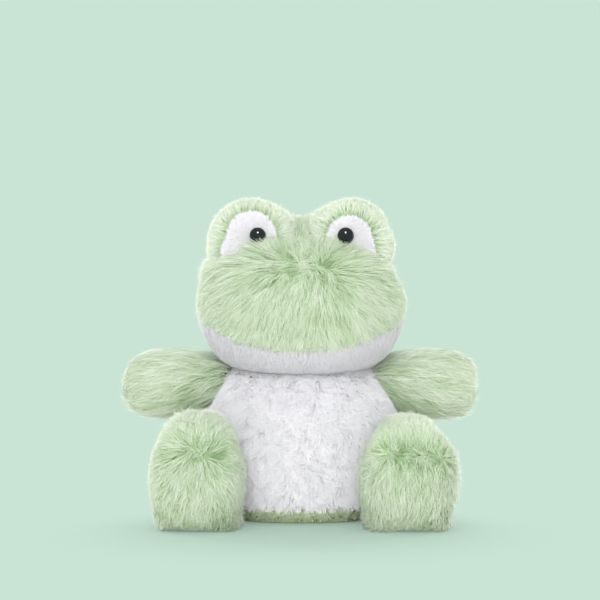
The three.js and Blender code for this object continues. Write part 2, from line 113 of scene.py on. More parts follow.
ARM_RINGS = [
    (-0.12, 0.58, 0.56, 0), (0.02, 0.78, 0.74, 0), (0.18, 0.91, 0.89, 0), (0.38, 0.99, 0.99, 0), (0.58, 1, 1, 0),
    (0.75, 0.96, 0.93, 0), (0.88, 0.83, 0.8, 0), (0.96, 0.62, 0.6, 0), (1, 0.42, 0.42, 0),
]
LEG_RINGS = [
    (0, 0.42, 0.42, 0), (0.03, 0.64, 0.64, 0), (0.09, 0.83, 0.83, 0), (0.19, 0.95, 0.95, 0), (0.34, 1, 1, 0),
    (0.55, 0.99, 0.98, 0), (0.75, 0.88, 0.86, 0), (0.9, 0.64, 0.64, 0), (1, 0.34, 0.34, 0),
]
POUCH_RINGS = [
    (0, 0.55, 0.55, 0), (0.12, 0.8, 0.8, 0), (0.32, 0.95, 0.95, 0), (0.5, 1, 1, 0), (0.68, 0.95, 0.95, 0),
    (0.88, 0.78, 0.78, 0), (1, 0.5, 0.5, 0),
]
# A safety eye, turned about its middle: share of its radius, and millimetres in front of the patch
EYE_PROFILE = [
    (0, 4.2), (0.14, 4.16), (0.3, 4.02), (0.48, 3.72), (0.65, 3.25), (0.8, 2.6), (0.91, 1.85), (0.975, 1.1),
    (1, 0.5), (0.985, 0.15), (0.94, 0), (0.34, 0), (0.32, -0.3), (0.32, -12.6), (0.28, -13), (0, -13),
]
# Rounds that make the shown part of each eye patch: millimetres aside and up from its bump's middle, and radius
PATCH_ROUNDS = {
    "right": ((0.1, 4.0, 13.4), (-6.7, -6.5, 10.6)),
    "left": ((-1.7, 2.6, 12.1), (2.7, -5.9, 9.9)),
}
# Both ends of each parting, from which the pile lies away
FACE_WHORL = ((-0.007, -0.064, 0.166), (0.01, -0.064, 0.16))
LEG_PARTINGS = {
    "right": ((-0.064, -0.094, 0.0505), (-0.056, -0.094, 0.048)),
    "left": ((0.05, -0.09, 0.0475), (0.087, -0.09, 0.0445)),
}
# Where each left limb starts to bend away from the torso, and where it moves as one
ARM_BEND = ((0.044, 0, 0.078), (0.062, 0, 0.09))
LEG_BEND = ((0.05, -0.014, 0.033), (0.05, -0.034, 0.033))


# Settings


class FROG_PG_sizes(bpy.types.PropertyGroup):
    """Sizes of the frog's forms, measured to the outside of the pile"""

    torso_height: FloatProperty(
        name="Torso Height", description="Height of the torso from the floor", default=0.095, unit="LENGTH")
    torso_half_width: FloatProperty(
        name="Torso Half Width", description="Half of the torso's width", default=0.0645, unit="LENGTH")
    torso_half_depth: FloatProperty(
        name="Torso Half Depth", description="Half of the torso's depth", default=0.05, unit="LENGTH")
    base_rim: FloatProperty(
        name="Base Rim", description="Height of the bottom panel's turned-up edge", default=0.0065, unit="LENGTH")
    head_bottom: FloatProperty(
        name="Head Bottom", description="Height of the head's underside", default=0.0895, unit="LENGTH")
    head_height: FloatProperty(
        name="Head Height", description="Height of the head without its eye bumps", default=0.097, unit="LENGTH")
    head_half_width: FloatProperty(
        name="Head Half Width", description="Half of the head's width", default=0.0655, unit="LENGTH")
    head_half_depth: FloatProperty(
        name="Head Half Depth", description="Half of the head's depth", default=0.056, unit="LENGTH")
    bump_radius: FloatProperty(
        name="Eye Bump Radius", description="Radius of each eye bump", default=0.0272, unit="LENGTH")
    bump_length: FloatProperty(
        name="Eye Bump Length", description="Length of each eye bump from front to back", default=0.054, unit="LENGTH")
    bumps_apart: FloatProperty(
        name="Eye Bumps Apart", description="Distance between the middles of the eye bumps", default=0.061,
        unit="LENGTH")
    eye_radius: FloatProperty(
        name="Eye Radius", description="Radius of each safety eye", default=0.005, unit="LENGTH")
    eyes_apart: FloatProperty(
        name="Eyes Apart", description="Distance between the middles of the eyes", default=0.053, unit="LENGTH")
    arm_length: FloatProperty(
        name="Arm Length", description="Length of each arm from its shoulder", default=0.0595, unit="LENGTH")
    arm_half_height: FloatProperty(
        name="Arm Half Height", description="Half of each arm's height", default=0.0208, unit="LENGTH")
    arm_half_depth: FloatProperty(
        name="Arm Half Depth", description="Half of each arm's depth", default=0.0185, unit="LENGTH")
    leg_length: FloatProperty(
        name="Leg Length", description="Length of each leg", default=0.086, unit="LENGTH")
    leg_half_width: FloatProperty(
        name="Leg Half Width", description="Half of each leg's width", default=0.0305, unit="LENGTH")
    leg_height: FloatProperty(
        name="Leg Height", description="Height of each leg above the floor", default=0.069, unit="LENGTH")
    legs_apart: FloatProperty(
        name="Legs Apart", description="Distance between the middles of the legs", default=0.126, unit="LENGTH")


class FROG_PG_pile(bpy.types.PropertyGroup):
    """Length, width and number of the pile's strands"""

    long_pile: FloatProperty(
        name="Long Pile", description="Length of a strand of the long pile", default=0.0145, unit="LENGTH")
    short_pile: FloatProperty(
        name="Short Pile", description="Length of a strand of the jaw's pile", default=0.0045, unit="LENGTH")
    velour_pile: FloatProperty(
        name="Velour Pile", description="Length of a strand of the eye patches", default=0.0022, unit="LENGTH")
    strand_width: FloatProperty(
        name="Strand Width", description="Width of a strand at its root", default=0.00026, unit="LENGTH")
    strands_per_cm2: FloatProperty(
        name="Strands per Square Centimetre",
        description="How many strands of the long pile stand on a square centimetre", default=250, min=10, max=400)


class FROG_PG_colours(bpy.types.PropertyGroup):
    """Colours of the fabrics, eyes and studio"""

    # Each pile runs from its root colour to its tip colour by how high a point stands in the pile; the darker roots are
    # painted shade deep in the pile.
    green_root: FloatVectorProperty(
        name="Green Root", description="Green pile at its roots",
        subtype="COLOR", min=0, max=1, default=(0.4, 0.55, 0.31))
    green_middle: FloatVectorProperty(
        name="Green Middle", description="Green pile halfway up",
        subtype="COLOR", min=0, max=1, default=(0.6, 0.74, 0.51))
    green_tip: FloatVectorProperty(
        name="Green Tip", description="Green pile near its tips",
        subtype="COLOR", min=0, max=1, default=(0.755, 0.845, 0.69))
    # The cream ends are partly the pile's own paler tips and partly a painted rim light, where light comes through the
    # pile at its outline.
    cream_end_and_rim_light: FloatVectorProperty(
        name="Cream End", description="Ends of the green pile's highest strands",
        subtype="COLOR", min=0, max=1, default=(0.92, 0.955, 0.86))
    white_root: FloatVectorProperty(
        name="White Root", description="White pile at its roots",
        subtype="COLOR", min=0, max=1, default=(0.9, 0.9, 0.93))
    white_tip: FloatVectorProperty(
        name="White Tip", description="White pile at its tips",
        subtype="COLOR", min=0, max=1, default=(0.96, 0.96, 0.985))
    # The bottom panel is the same green fabric as the rest; its slightly darker, more olive colour is painted shade,
    # for the panel lies in shadow under the belly.
    shaded_base_green: FloatVectorProperty(
        name="Base Green", description="Bottom panel's darker green",
        subtype="COLOR", min=0, max=1, default=(0.7, 0.82, 0.53))
    eye_black: FloatVectorProperty(
        name="Eye Black", description="Safety eyes", subtype="COLOR", min=0, max=1, default=(0.006, 0.007, 0.009))
    studio: FloatVectorProperty(
        name="Studio", description="Floor and background",
        subtype="COLOR", min=0, max=1, default=(0.584, 0.775, 0.665))


# Forms


def smooth_profile(rows, count):
    """Points on a smooth curve through the rows, evenly spaced along it."""
    rows = np.asarray(rows, float)
    steps = np.linalg.norm(np.diff(rows[:, :3], axis=0), axis=1) + 1e-9
    at = np.concatenate([[0], np.cumsum(steps)])
    slope = np.diff(rows, axis=0) / steps[:, None]
    tangent = np.empty_like(rows)
    tangent[1:-1] = (slope[:-1] * steps[1:, None] + slope[1:] * steps[:-1, None]) / (steps[1:] + steps[:-1])[:, None]
    tangent[0], tangent[-1] = slope[0], slope[-1]
    tangent[0, 0] = tangent[-1, 0] = 0  # a closed end is flat at its middle
    s = np.linspace(0, at[-1], count)
    k = np.clip(np.searchsorted(at, s, side="right") - 1, 0, len(steps) - 1)
    h = steps[k][:, None]
    u = ((s - at[k]) / steps[k])[:, None]
    return (
        (2 * u**3 - 3 * u**2 + 1) * rows[k] + (u**3 - 2 * u**2 + u) * h * tangent[k]
        + (-2 * u**3 + 3 * u**2) * rows[k + 1] + (u**3 - u**2) * h * tangent[k + 1]
    )


class Form:
    """A swelling body through rounded rings along its own Z, set in place by a matrix."""

    def __init__(self, shares, length, wide, deep, boxiness=2.0, place=Matrix.Identity(4), ends=(0.0, 0.0),
                 around=96, along=72):
        rows = [(a * length, w * wide, d * deep, -f * deep) for a, w, d, f in shares]
        first, last = rows[0], rows[-1]
        rows = [(first[0] - ends[0], 1e-5, 1e-5, first[3])] + rows + [(last[0] + ends[1], 1e-5, 1e-5, last[3])]
        profile = smooth_profile(rows, along)
        profile[:, 1:3] = np.maximum(profile[:, 1:3], 1e-5)
        self.profile, self.boxiness = profile, boxiness
        self.place = np.array(place)
        angle = np.linspace(0, 2 * math.pi, around, endpoint=False)
        bulge = 2 / boxiness
        across = np.sign(np.cos(angle)) * np.abs(np.cos(angle)) ** bulge
        forth = np.sign(np.sin(angle)) * np.abs(np.sin(angle)) ** bulge
        z, w, d, y = (profile[:, i][:, None] for i in range(4))
        grid = np.stack([w * across, y + d * forth, np.broadcast_to(z, (along, around))], axis=-1)
        grid = grid @ self.place[:3, :3].T + self.place[:3, 3]
        up = np.gradient(grid, axis=0)
        round_it = np.roll(grid, -1, axis=1) - np.roll(grid, 1, axis=1)
        normals = np.cross(round_it, up)
        size = np.linalg.norm(normals, axis=-1, keepdims=True)
        normals = normals / np.maximum(size, 1e-15)
        ends_out = self.place[:3, 2]
        normals[0], normals[-1] = -ends_out, ends_out
        self.grid, self.normals = grid, normals
        self.measure_reach()

    def measure_reach(self, rows=73, columns=120):
        """How far the surface is from the form's middle, in every direction."""
        z = 0.5 * (self.profile[0, 0] + self.profile[-1, 0])
        order = np.argsort(self.profile[:, 0], kind="stable")
        forward = np.interp(z, self.profile[order, 0], self.profile[order, 3])
        self.middle = self.place[:3, :3] @ [0, forward, z] + self.place[:3, 3]
        polar = np.linspace(0, math.pi, rows)[:, None]
        turn = np.linspace(0, 2 * math.pi, columns + 1)[None, :]
        local = np.stack([np.sin(polar) * np.cos(turn), np.sin(polar) * np.sin(turn), np.cos(polar) + 0 * turn],
                         axis=-1)
        directions = (local @ self.place[:3, :3].T).reshape(-1, 3)
        near, far = np.zeros(len(directions)), np.full(len(directions), 0.2)
        for _ in range(22):  # halves the error each time
            half = 0.5 * (near + far)
            inside = self.depth(self.middle + directions * half[:, None]) > 0
            near, far = np.where(inside, half, near), np.where(inside, far, half)
        self.reach = near.reshape(rows, columns + 1)

    def reach_towards(self, directions):
        """The distance from the form's middle to its surface along each direction."""
        local = directions @ self.place[:3, :3]
        rows, columns = self.reach.shape[0] - 1, self.reach.shape[1] - 1
        u = np.arccos(np.clip(local[..., 2], -1, 1)) / math.pi * rows
        v = (np.arctan2(local[..., 1], local[..., 0]) / (2 * math.pi) % 1) * columns
        a, b = np.minimum(u.astype(int), rows - 1), np.minimum(v.astype(int), columns - 1)
        u, v = u - a, v - b
        return (
            self.reach[a, b] * (1 - u) * (1 - v) + self.reach[a + 1, b] * u * (1 - v)
            + self.reach[a, b + 1] * (1 - u) * v + self.reach[a + 1, b + 1] * u * v
        )

    def depth(self, points):
        """How deep points are inside the form, as a share: over 0 inside, under 0 outside."""
        local = (points - self.place[:3, 3]) @ self.place[:3, :3]
        order = np.argsort(self.profile[:, 0], kind="stable")
        z = self.profile[order, 0]
        w, d, y = (np.interp(local[:, 2], z, self.profile[order, i]) for i in (1, 2, 3))
        reach = (np.abs(local[:, 0]) / w) ** self.boxiness + (np.abs(local[:, 1] - y) / d) ** self.boxiness
        inside = 1 - reach ** (1 / self.boxiness)
        beyond = (local[:, 2] < z[0]) | (local[:, 2] > z[-1])
        return np.where(beyond, -1.0, inside)

    def skin(self, sink, part=None):
        """The form's surface sunk under the pile, or the part of it whose outer points pass a test."""
        along, around = self.grid.shape[:2]
        points = (self.grid - self.normals * sink).reshape(-1, 3)
        outer = self.grid.reshape(-1, 3)
        row = np.arange(along - 1)[:, None] * around
        k = np.arange(around)[None, :]
        after = (k + 1) % around
        faces = np.stack([row + k, row + after, row + around + after, row + around + k], axis=-1).reshape(-1, 4)
        if part is not None:
            faces = faces[part(outer[faces].mean(axis=1))]
        points[:, 2] = np.maximum(points[:, 2], FLOOR_CLEARANCE)
        normals = self.normals.reshape(-1, 3)
        return {"points": points, "outer": outer, "normals": normals, "faces": faces, "around": around}


def forms(sizes):
    """Every form of the frog, by name."""
    made = {}
    torso = (sizes.torso_height, sizes.torso_half_width, sizes.torso_half_depth, 2.2)
    made["torso"] = Form(TORSO_RINGS, *torso, ends=(0, 0.004))
    made["belly"] = Form(BELLY_RINGS, *torso, ends=(0, 0.002))
    made["head"] = Form(
        HEAD_RINGS, sizes.head_height, sizes.head_half_width, sizes.head_half_depth, 2.3,
        Matrix.Translation((0, 0, sizes.head_bottom)), ends=(0.0005, 0.0004), around=120, along=90,
    )
    forward = Matrix.Rotation(-math.pi / 2, 4, "X")
    for name, side in SIDES:
        made[f"{name}_bump"] = Form(
            BUMP_RINGS, sizes.bump_length, sizes.bump_radius, sizes.bump_radius, 2.0,
            Matrix.Translation((side * sizes.bumps_apart / 2, BUMP_FRONT, bump_height(sizes))) @ forward,
            ends=(0.0005, 0.003),
        )
        made[f"{name}_arm"] = Form(
            ARM_RINGS, sizes.arm_length, sizes.arm_half_height, sizes.arm_half_depth, 2.0,
            Matrix.Translation((side * SHOULDER[0], *SHOULDER[1:])) @ Matrix.Rotation(side * math.pi / 2, 4, "Y"),
            ends=(0.001, 0.002),
        )
        half_height = (sizes.leg_height + 0.0035) / 2
        made[f"{name}_leg"] = Form(
            LEG_RINGS, sizes.leg_length, sizes.leg_half_width, half_height, 2.5,
            Matrix.Translation((side * sizes.legs_apart / 2, LEG_FRONT, sizes.leg_height - half_height)) @ forward,
            ends=(0.001, 0.003),
        )
    return made


def bump_height(sizes):
    """Height of the middles of the eye bumps, which rise 11 mm above the head."""
    return sizes.head_bottom + sizes.head_height + 0.011 - 0.027


def mouth_height(x, sizes):
    """Height of the mouth line, which rises to both corners."""
    rise = np.abs(x / sizes.head_half_width) ** 2.4
    return sizes.head_bottom + 0.0145 + (0.035 - 0.0145) * rise


# Pile


def unit(vectors):
    return vectors / np.maximum(np.linalg.norm(vectors, axis=-1, keepdims=True), 1e-12)


def along_surface(vectors, normals):
    """The direction of each vector as it lies on the surface."""
    return unit(vectors - np.sum(vectors * normals, axis=-1, keepdims=True) * normals)


def away_from(start, end):
    """A comb that lays the pile away from a parting between two points."""
    start, end = np.asarray(start, float), np.asarray(end, float)
    line = end - start

    def comb(points):
        t = np.clip(((points - start) @ line) / max(line @ line, 1e-12), 0, 1)
        return points - (start + t[:, None] * line)

    return comb


def ramp(values, low, high):
    """0 under low, 1 over high, and a smooth rise between them."""
    t = np.clip((values - low) / (high - low), 0, 1)
    return t * t * (3 - 2 * t)


def bell(*terms):
    """1 where every term is 0, falling smoothly to 0 away from there."""
    return np.exp(-sum(term**2 for term in terms))


def evenly(value):
    """The same value at every place."""
    return lambda points: np.full(len(points), value)


def ripple(points, scale, seed):
    """A smooth value from -1 to 1 that drifts over the surface."""
    rng = np.random.default_rng(seed)
    total = np.zeros(len(points))
    for _ in range(5):
        direction = unit(rng.normal(size=3)) * rng.uniform(0.7, 1.6) / scale
        total += np.sin(points @ direction * 2 * math.pi + rng.uniform(0, 2 * math.pi))
    return total / 3.2


def face_areas(skin):
    corners = skin["points"][skin["faces"]]
    return 0.5 * np.linalg.norm(np.cross(corners[:, 2] - corners[:, 0], corners[:, 3] - corners[:, 1]), axis=1)


def strand_count(skin, pile, share=1.0):
    """How many strands a skin gets: its area in square centimetres times the long pile's number, times a share."""
    return int(face_areas(skin).sum() * 1e4 * pile.strands_per_cm2 * share)


def scatter(skin, count, rng):
    """Random places on a skin, spread evenly by area, with their normals."""
    area = face_areas(skin)
    steps = (np.arange(count) + rng.random(count)) / count
    face = np.searchsorted(np.cumsum(area) / area.sum(), steps).clip(0, len(area) - 1)
    a, b = rng.random(count)[:, None], rng.random(count)[:, None]
    weights = ((1 - a) * (1 - b), a * (1 - b), a * b, (1 - a) * b)
    blended = []
    for key in ("points", "outer", "normals"):
        values = skin[key][skin["faces"][face]]
        blended.append(sum(w * values[:, i] for i, w in enumerate(weights)))
    return blended[0], blended[1], unit(blended[2])


def strands(form, skin, comb, rng, count, length, width, *, keep=None, lengths=None, heights=None, rise=(0.55, 1.0),
            per_tuft=12, tuft=1.8 * MM, gather=0.55, splay=0.2, wave=0.9 * MM, locks=False, stray=0.05, wisps=0.08,
            uneven=0.25, tones=None, tone_seed=0, hollows=None, segments=2, **finish):
    """Strands in tufts that lie round a form: their points, normals, map and faces, as arrays.

    The comb gives the way that the pile lies, and stands it up where its vector is shorter than 1. A tuft is a
    round of strands that gather towards its tip, splay and wave, and rise to a share of the pile's height. Strays
    turn aside, and wisps stand higher. Tufts picked by the hollows function lie lower and are toned darker: painted
    shade between the others. The functions for keep, lengths, heights, tones and hollows get places on the form.
    The finish says how each strand is made, as in strand_mesh.
    """
    places, outer, normals = scatter(skin, max(1, count // per_tuft), rng)
    if keep is not None:
        chosen = keep(outer)
        places, outer, normals = places[chosen], outer[chosen], normals[chosen]
    tufts = len(places)
    lay = comb(outer)
    laid = np.clip(np.linalg.norm(lay, axis=1), 0, 1)
    lay = lay + (1.05 - laid)[:, None] * 1.3 * unit(rng.normal(size=lay.shape)) + 0.1 * rng.normal(size=lay.shape)
    lay = along_surface(lay, normals)
    share = np.ones(tufts) if lengths is None else lengths(outer)
    tuft_long = share * (1 + uneven * rng.uniform(-1, 1, tufts))
    tuft_rise = rise[0] + (rise[1] - rise[0]) * rng.random(tufts)
    stature = np.ones(tufts) if heights is None else heights(outer)
    tuft_tone = 0.55 + 0.14 * ripple(places, 0.022, tone_seed) + 0.11 * rng.normal(size=tufts)
    tuft_tone = tuft_tone + (0 if tones is None else tones(outer))
    if hollows is not None:  # some tufts lie lower, and are toned darker as painted shade between the others
        hollow = rng.random(tufts) < hollows(outer)
        tuft_tone, tuft_rise = tuft_tone - 0.35 * hollow, tuft_rise * (1 - 0.2 * hollow)
    cross = np.cross(normals, lay)
    pick = np.repeat(np.arange(tufts), per_tuft)
    n = len(pick)
    normal, lay, cross, laid = normals[pick], lay[pick], cross[pick], laid[pick]
    radius, angle = tuft * np.sqrt(rng.random(n)), rng.uniform(0, 2 * math.pi, n)
    offset = lay * (radius * np.cos(angle))[:, None] + cross * (radius * np.sin(angle))[:, None]
    strays = rng.random(n) < stray
    loose = rng.random(n) < wisps
    turn = (rng.normal(0, splay, n) * np.where(strays, 2.2, 1))[:, None]
    heading = lay * np.cos(turn) + cross * np.sin(turn)
    t = np.linspace(0, 1, segments + 1)[None, :, None]
    reach = length * tuft_long[pick] * (0.4 + 0.6 * laid) * rng.uniform(0.8, 1.15, n)
    forward = reach[:, None, None] * (0.35 * t + 0.65 * t**1.6)
    swing, bend = wave * rng.normal(size=n), rng.uniform(2, 5, n)
    if locks:  # the strands of a tuft bend together
        swing, bend = 0.3 * swing + wave * rng.normal(size=tufts)[pick], rng.uniform(3, 5.5, tufts)[pick]
    sway = swing[:, None, None] * np.sin(t * bend[:, None, None]) * t
    path = places[pick][:, None] + offset[:, None] * (1 - gather * t**1.3) + heading[:, None] * forward
    path = path + cross[:, None] * sway

    # Lay the strands round the form, each rising from the backing to its own height in the pile
    high = tuft_rise[pick] * rng.uniform(0.8, 1.12, n) * np.where(strays, 1.12, 1) * (1.12 - 0.12 * laid)
    high = stature[pick] * np.clip(high, 0, 1.16)
    lift = high[:, None] * (1 - (1 - t[..., 0]) ** 2.4)
    lift = np.where(loose[:, None], lift * (1 + 0.3 * t[..., 0] ** 2), lift)
    root_reach = np.linalg.norm(places - form.middle, axis=1)
    pile = (form.reach_towards(unit(places - form.middle)) - root_reach)[pick][:, None]
    towards = unit(path - form.middle)
    path = form.middle + towards * (form.reach_towards(towards) - pile * (1 - lift))[..., None]
    path[..., 2] = np.maximum(path[..., 2], FLOOR_CLEARANCE)
    # How high each point stands in the pile picks its colour from root to tip: lower is darker, painted shade.
    up = np.clip(0.06 + 0.92 * lift / (rise[1] * np.maximum(stature, 0.2)[pick][:, None]), 0.06, 1)
    return strand_mesh(path, up, tuft_tone[pick], normal, towards, width, rng, **finish)


def strand_mesh(path, up, tone, normal, towards, width, rng, *, ridged=True, taper=(1, 0.9, 0.5), facing=(0, 0, 0),
                soften=0.2, under=0.55, speckle=0.1):
    """Flat or ridged strands along their paths, as the arrays that strands returns.

    Light goes through the pile and evens out its shade, so the normals are softened towards the way that the
    panel faces, and those that point down are flattened by the share under. Speckle sets strands apart in tone.
    """
    n, segments = len(path), path.shape[1] - 1
    tangent = unit(np.gradient(path, axis=1))
    twist = rng.normal(0, 0.22, n)[:, None, None]
    outward = towards * np.cos(twist) + unit(np.cross(tangent, towards)) * np.sin(twist)
    across = unit(np.cross(tangent, outward))
    narrowing = np.interp(np.linspace(0, 1, segments + 1), [0, 0.5, 0.82, 1], [*taper, 0])[None, :, None]
    half = 0.5 * width * rng.uniform(0.75, 1.25, n)[:, None, None] * narrowing
    edges = [path - across * half, path + across * half]
    if ridged:
        edges.insert(1, path + outward * 0.8 * half)
    rows = len(edges)
    shade = unit(0.75 * normal[:, None] + 0.25 * towards + 0.12 * rng.normal(size=(n, 1, 3)))
    shade[..., 2] *= np.where(shade[..., 2] < 0, under, 1)
    facing = np.asarray(facing, float)
    soften = soften * ramp(normal @ facing, -0.3, 0.4)[:, None, None]
    shade = unit((1 - soften) * unit(shade) + soften * facing)
    each = rows * segments + 1
    points, turned, uv = np.empty((n, each, 3)), np.empty((n, each, 3)), np.empty((n, each, 2))
    tone = np.clip(tone + speckle * rng.normal(size=n), 0.03, 0.97)[:, None]
    for edge, lean in enumerate(np.linspace(-1, 1, rows)):
        points[:, edge:-1:rows] = edges[edge][:, :-1]
        turned[:, edge:-1:rows] = unit(shade + 0.2 * lean * across)[:, :-1]
        uv[:, edge:-1:rows, 0], uv[:, edge:-1:rows, 1] = tone + 0.012 * lean, up[:, :-1]
    points[:, -1], turned[:, -1], uv[:, -1, 0], uv[:, -1, 1] = path[:, -1], shade[:, -1], tone[:, 0], up[:, -1]
    start, strips = (np.arange(n) * each)[:, None], range(rows - 1)
    quads = [start + rows * k + np.array([[a, a + 1, a + rows + 1, a + rows]])
             for k in range(segments - 1) for a in strips]
    tips = [start + rows * (segments - 1) + np.array([[a, a + 1, rows]]) for a in strips]
    return points.reshape(-1, 3), turned.reshape(-1, 3), uv.reshape(-1, 2), np.concatenate(quads), np.concatenate(tips)


def backing(skin, rng, heights=None):
    """The fabric that the strands stand on, as the same arrays. It has the pile's dark root colour, painted shade under
    the strands, and is paler where they are low and let it show.
    """
    used, faces = np.unique(skin["faces"], return_inverse=True)
    faces = faces.reshape(-1, 4)
    low = 0 if heights is None else np.clip(1 - heights(skin["outer"][used]), 0, 1)
    uv = np.stack([rng.uniform(0.3, 0.7, len(used)), rng.uniform(0.02, 0.1, len(used)) + 0.55 * low], axis=1)
    return skin["points"][used], skin["normals"][used], uv, faces, np.empty((0, 3), int)


def new_piece(name, mesh, material, node):
    """An object for a mesh, with its material, which stands for a CAD node and hides it."""
    mesh.materials.append(material)
    piece = bpy.data.objects.new(name, mesh)
    bpy.context.scene.collection.objects.link(piece)
    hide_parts(node)
    return piece


def fabric(name, node, material, slot, form, skin, comb, rng, count, length, width, pale_backing=True, **lie):
    """One panel of fabric: its backing and its strands as one object."""
    hair = strands(form, skin, comb, rng, count, length, width, **lie)
    points, normals, uvs, quads, tris, base = [], [], [], [], [], 0
    for p, n, uv, q, t in (backing(skin, rng, lie.get("heights") if pale_backing else None), hair):
        points.append(p)
        normals.append(n)
        uvs.append(uv)
        quads.append(q + base)
        tris.append(t + base)
        base += len(p)
    points, normals, uvs, quads, tris = (np.concatenate(parts) for parts in (points, normals, uvs, quads, tris))
    corners = np.concatenate([quads.ravel(), tris.ravel()]).astype(np.int32)
    starts = np.concatenate([np.arange(len(quads)) * 4, len(quads) * 4 + np.arange(len(tris)) * 3]).astype(np.int32)
    mesh = bpy.data.meshes.new(name)
    mesh.vertices.add(len(points))
    mesh.vertices.foreach_set("co", points.astype(np.float32).ravel())
    mesh.loops.add(len(corners))
    mesh.loops.foreach_set("vertex_index", corners)
    mesh.polygons.add(len(starts))
    mesh.polygons.foreach_set("loop_start", starts)
    mesh.update(calc_edges=True)
    mesh.polygons.foreach_set("use_smooth", np.ones(len(starts), bool))
    layer = mesh.uv_layers.new(name=BAKE_MAP)
    layer.data.foreach_set("uv", uvs[corners].astype(np.float32).ravel())
    mesh.normals_split_custom_set_from_vertices(normals.astype(np.float32))
    return new_piece(name, mesh, material, node)


def filling(name, bodies, node, material, lumps=0.8 * MM):
    """One closed, slightly lumpy body inside the fabric, kept within the CAD node that it stands for."""
    points, faces, base = [], [], 0
    for skin in bodies:
        points.append(skin["points"])
        faces += (skin["faces"] + base).tolist()
        around, after = skin["around"], base + len(skin["points"])
        faces += [tuple(range(base, base + around))[::-1], tuple(range(after - around, after))]
        base = after
    rough = bpy.data.meshes.new(name + "_rough")
    rough.from_pydata(np.concatenate(points).tolist(), [], faces)
    holder = bpy.data.objects.new(name + "_rough", rough)
    bpy.context.scene.collection.objects.link(holder)
    remesh = holder.modifiers.new("One skin", "REMESH")
    remesh.mode, remesh.voxel_size = "VOXEL", 2.2 * MM
    smooth = holder.modifiers.new("Soft", "SMOOTH")
    smooth.iterations = 4
    mesh = bpy.data.meshes.new_from_object(holder.evaluated_get(bpy.context.evaluated_depsgraph_get()))
    bpy.data.objects.remove(holder)
    bpy.data.meshes.remove(rough)
    mesh.name = name
    mesh.materials.clear()
    at = np.empty(len(mesh.vertices) * 3, np.float32)
    mesh.vertices.foreach_get("co", at)
    at = at.reshape(-1, 3).astype(float)
    out = np.empty(len(mesh.vertices) * 3, np.float32)
    mesh.vertices.foreach_get("normal", out)
    at += out.reshape(-1, 3) * (lumps * (ripple(at, 0.012, 61) - 0.5))[:, None]
    low, high = (np.array(corner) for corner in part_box(node))
    at = np.clip(at, low + 0.1 * MM, high - 0.1 * MM)
    mesh.vertices.foreach_set("co", at.astype(np.float32).ravel())
    mesh.polygons.foreach_set("use_smooth", [True] * len(mesh.polygons))
    mesh.update()
    return new_piece(name, mesh, material, node)


def bend(piece, limb, side, places):
    """Sets the piece's place into its mesh; it does not bend it. The places are the left side's, and are not used."""
    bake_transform(piece)


def ring_faces(rings, around):
    """Faces that join each ring of points to the next."""
    pairs = [(r * around + k, r * around + (k + 1) % around) for r in range(rings - 1) for k in range(around)]
    return [(a, a + around, b + around, b) for a, b in pairs]


# Materials


def add_node(nodes, kind, values=None, **settings):
    """A new shader node with its settings, and the plain values of its inputs."""
    node = nodes.new(f"ShaderNode{kind}")
    for key, value in settings.items():
        setattr(node, key, value)
    for key, value in (values or {}).items():
        node.inputs[key].default_value = value
    return node


def colour_ramp(nodes, stops):
    """A colour ramp through the stops, each a place and a colour."""
    made = nodes.new("ShaderNodeValToRGB")
    ends = made.color_ramp.elements
    ends[0].position, ends[0].color = stops[0][0], (*stops[0][1], 1)
    ends[1].position, ends[1].color = stops[-1][0], (*stops[-1][1], 1)
    for at, colour in stops[1:-1]:
        ends.new(at).color = (*colour, 1)
    return made


def new_material(name, values):
    """A material with the values set on its shader."""
    material = bpy.data.materials.new(name)
    material.use_nodes = True
    nodes, links = material.node_tree.nodes, material.node_tree.links
    shader = nodes["Principled BSDF"]
    for key, value in values.items():
        shader.inputs[key].default_value = value
    return material, shader, nodes, links


def shared_material(name, make, *how):
    """The material of that name, made on its first use."""
    return bpy.data.materials.get(name) or make(name, *how)


def pile_material(name, stops, sheen, tones):
    """Pile whose colour runs from root to tip, and from strand to strand through the tones."""
    material, shader, nodes, links = new_material(name, {
        "Roughness": 0.85, "Specular IOR Level": 0.2, "Sheen Weight": sheen, "Sheen Roughness": 0.45})
    where = add_node(nodes, "UVMap", uv_map=BAKE_MAP)
    split = add_node(nodes, "SeparateXYZ")
    height, tone = colour_ramp(nodes, stops), colour_ramp(nodes, tones)
    mix = add_node(nodes, "Mix", {"Factor": 1}, data_type="RGBA", blend_type="MULTIPLY")
    links.new(where.outputs["UV"], split.inputs["Vector"])
    links.new(split.outputs["Y"], height.inputs["Fac"])
    links.new(split.outputs["X"], tone.inputs["Fac"])
    links.new(height.outputs["Color"], mix.inputs["A"])
    links.new(tone.outputs["Color"], mix.inputs["B"])
    links.new(mix.outputs["Result"], shader.inputs["Base Color"])
    return material


def green_pile(colours):
    # The highest strands end in cream: partly their own paler tips, partly a painted rim light.
    stops = [(0.05, colours.green_root), (0.5, colours.green_middle), (0.85, colours.green_tip), (1, colours.cream_end_and_rim_light)]
    tones = [(0, (0.5, 0.63, 0.43)), (0.28, (0.83, 0.885, 0.79)), (1, (1, 1, 1))]
    return shared_material("Green long pile", pile_material, stops, 0.4, tones)


def white_pile(colours):
    stops = [(0.05, colours.white_root), (1, colours.white_tip)]
    tones = [(0, (0.85, 0.85, 0.86)), (0.55, (0.94, 0.94, 0.94)), (1, (1, 1, 1))]
    return shared_material("White long pile", pile_material, stops, 0.15, tones)


def velour(colours):
    stops = [(0.05, colours.white_root), (1, tuple(0.935 * c for c in colours.white_tip))]
    return shared_material("White velour", pile_material, stops, 0.1, [(0, (0.95, 0.95, 0.95)), (1, (1, 1, 1))])


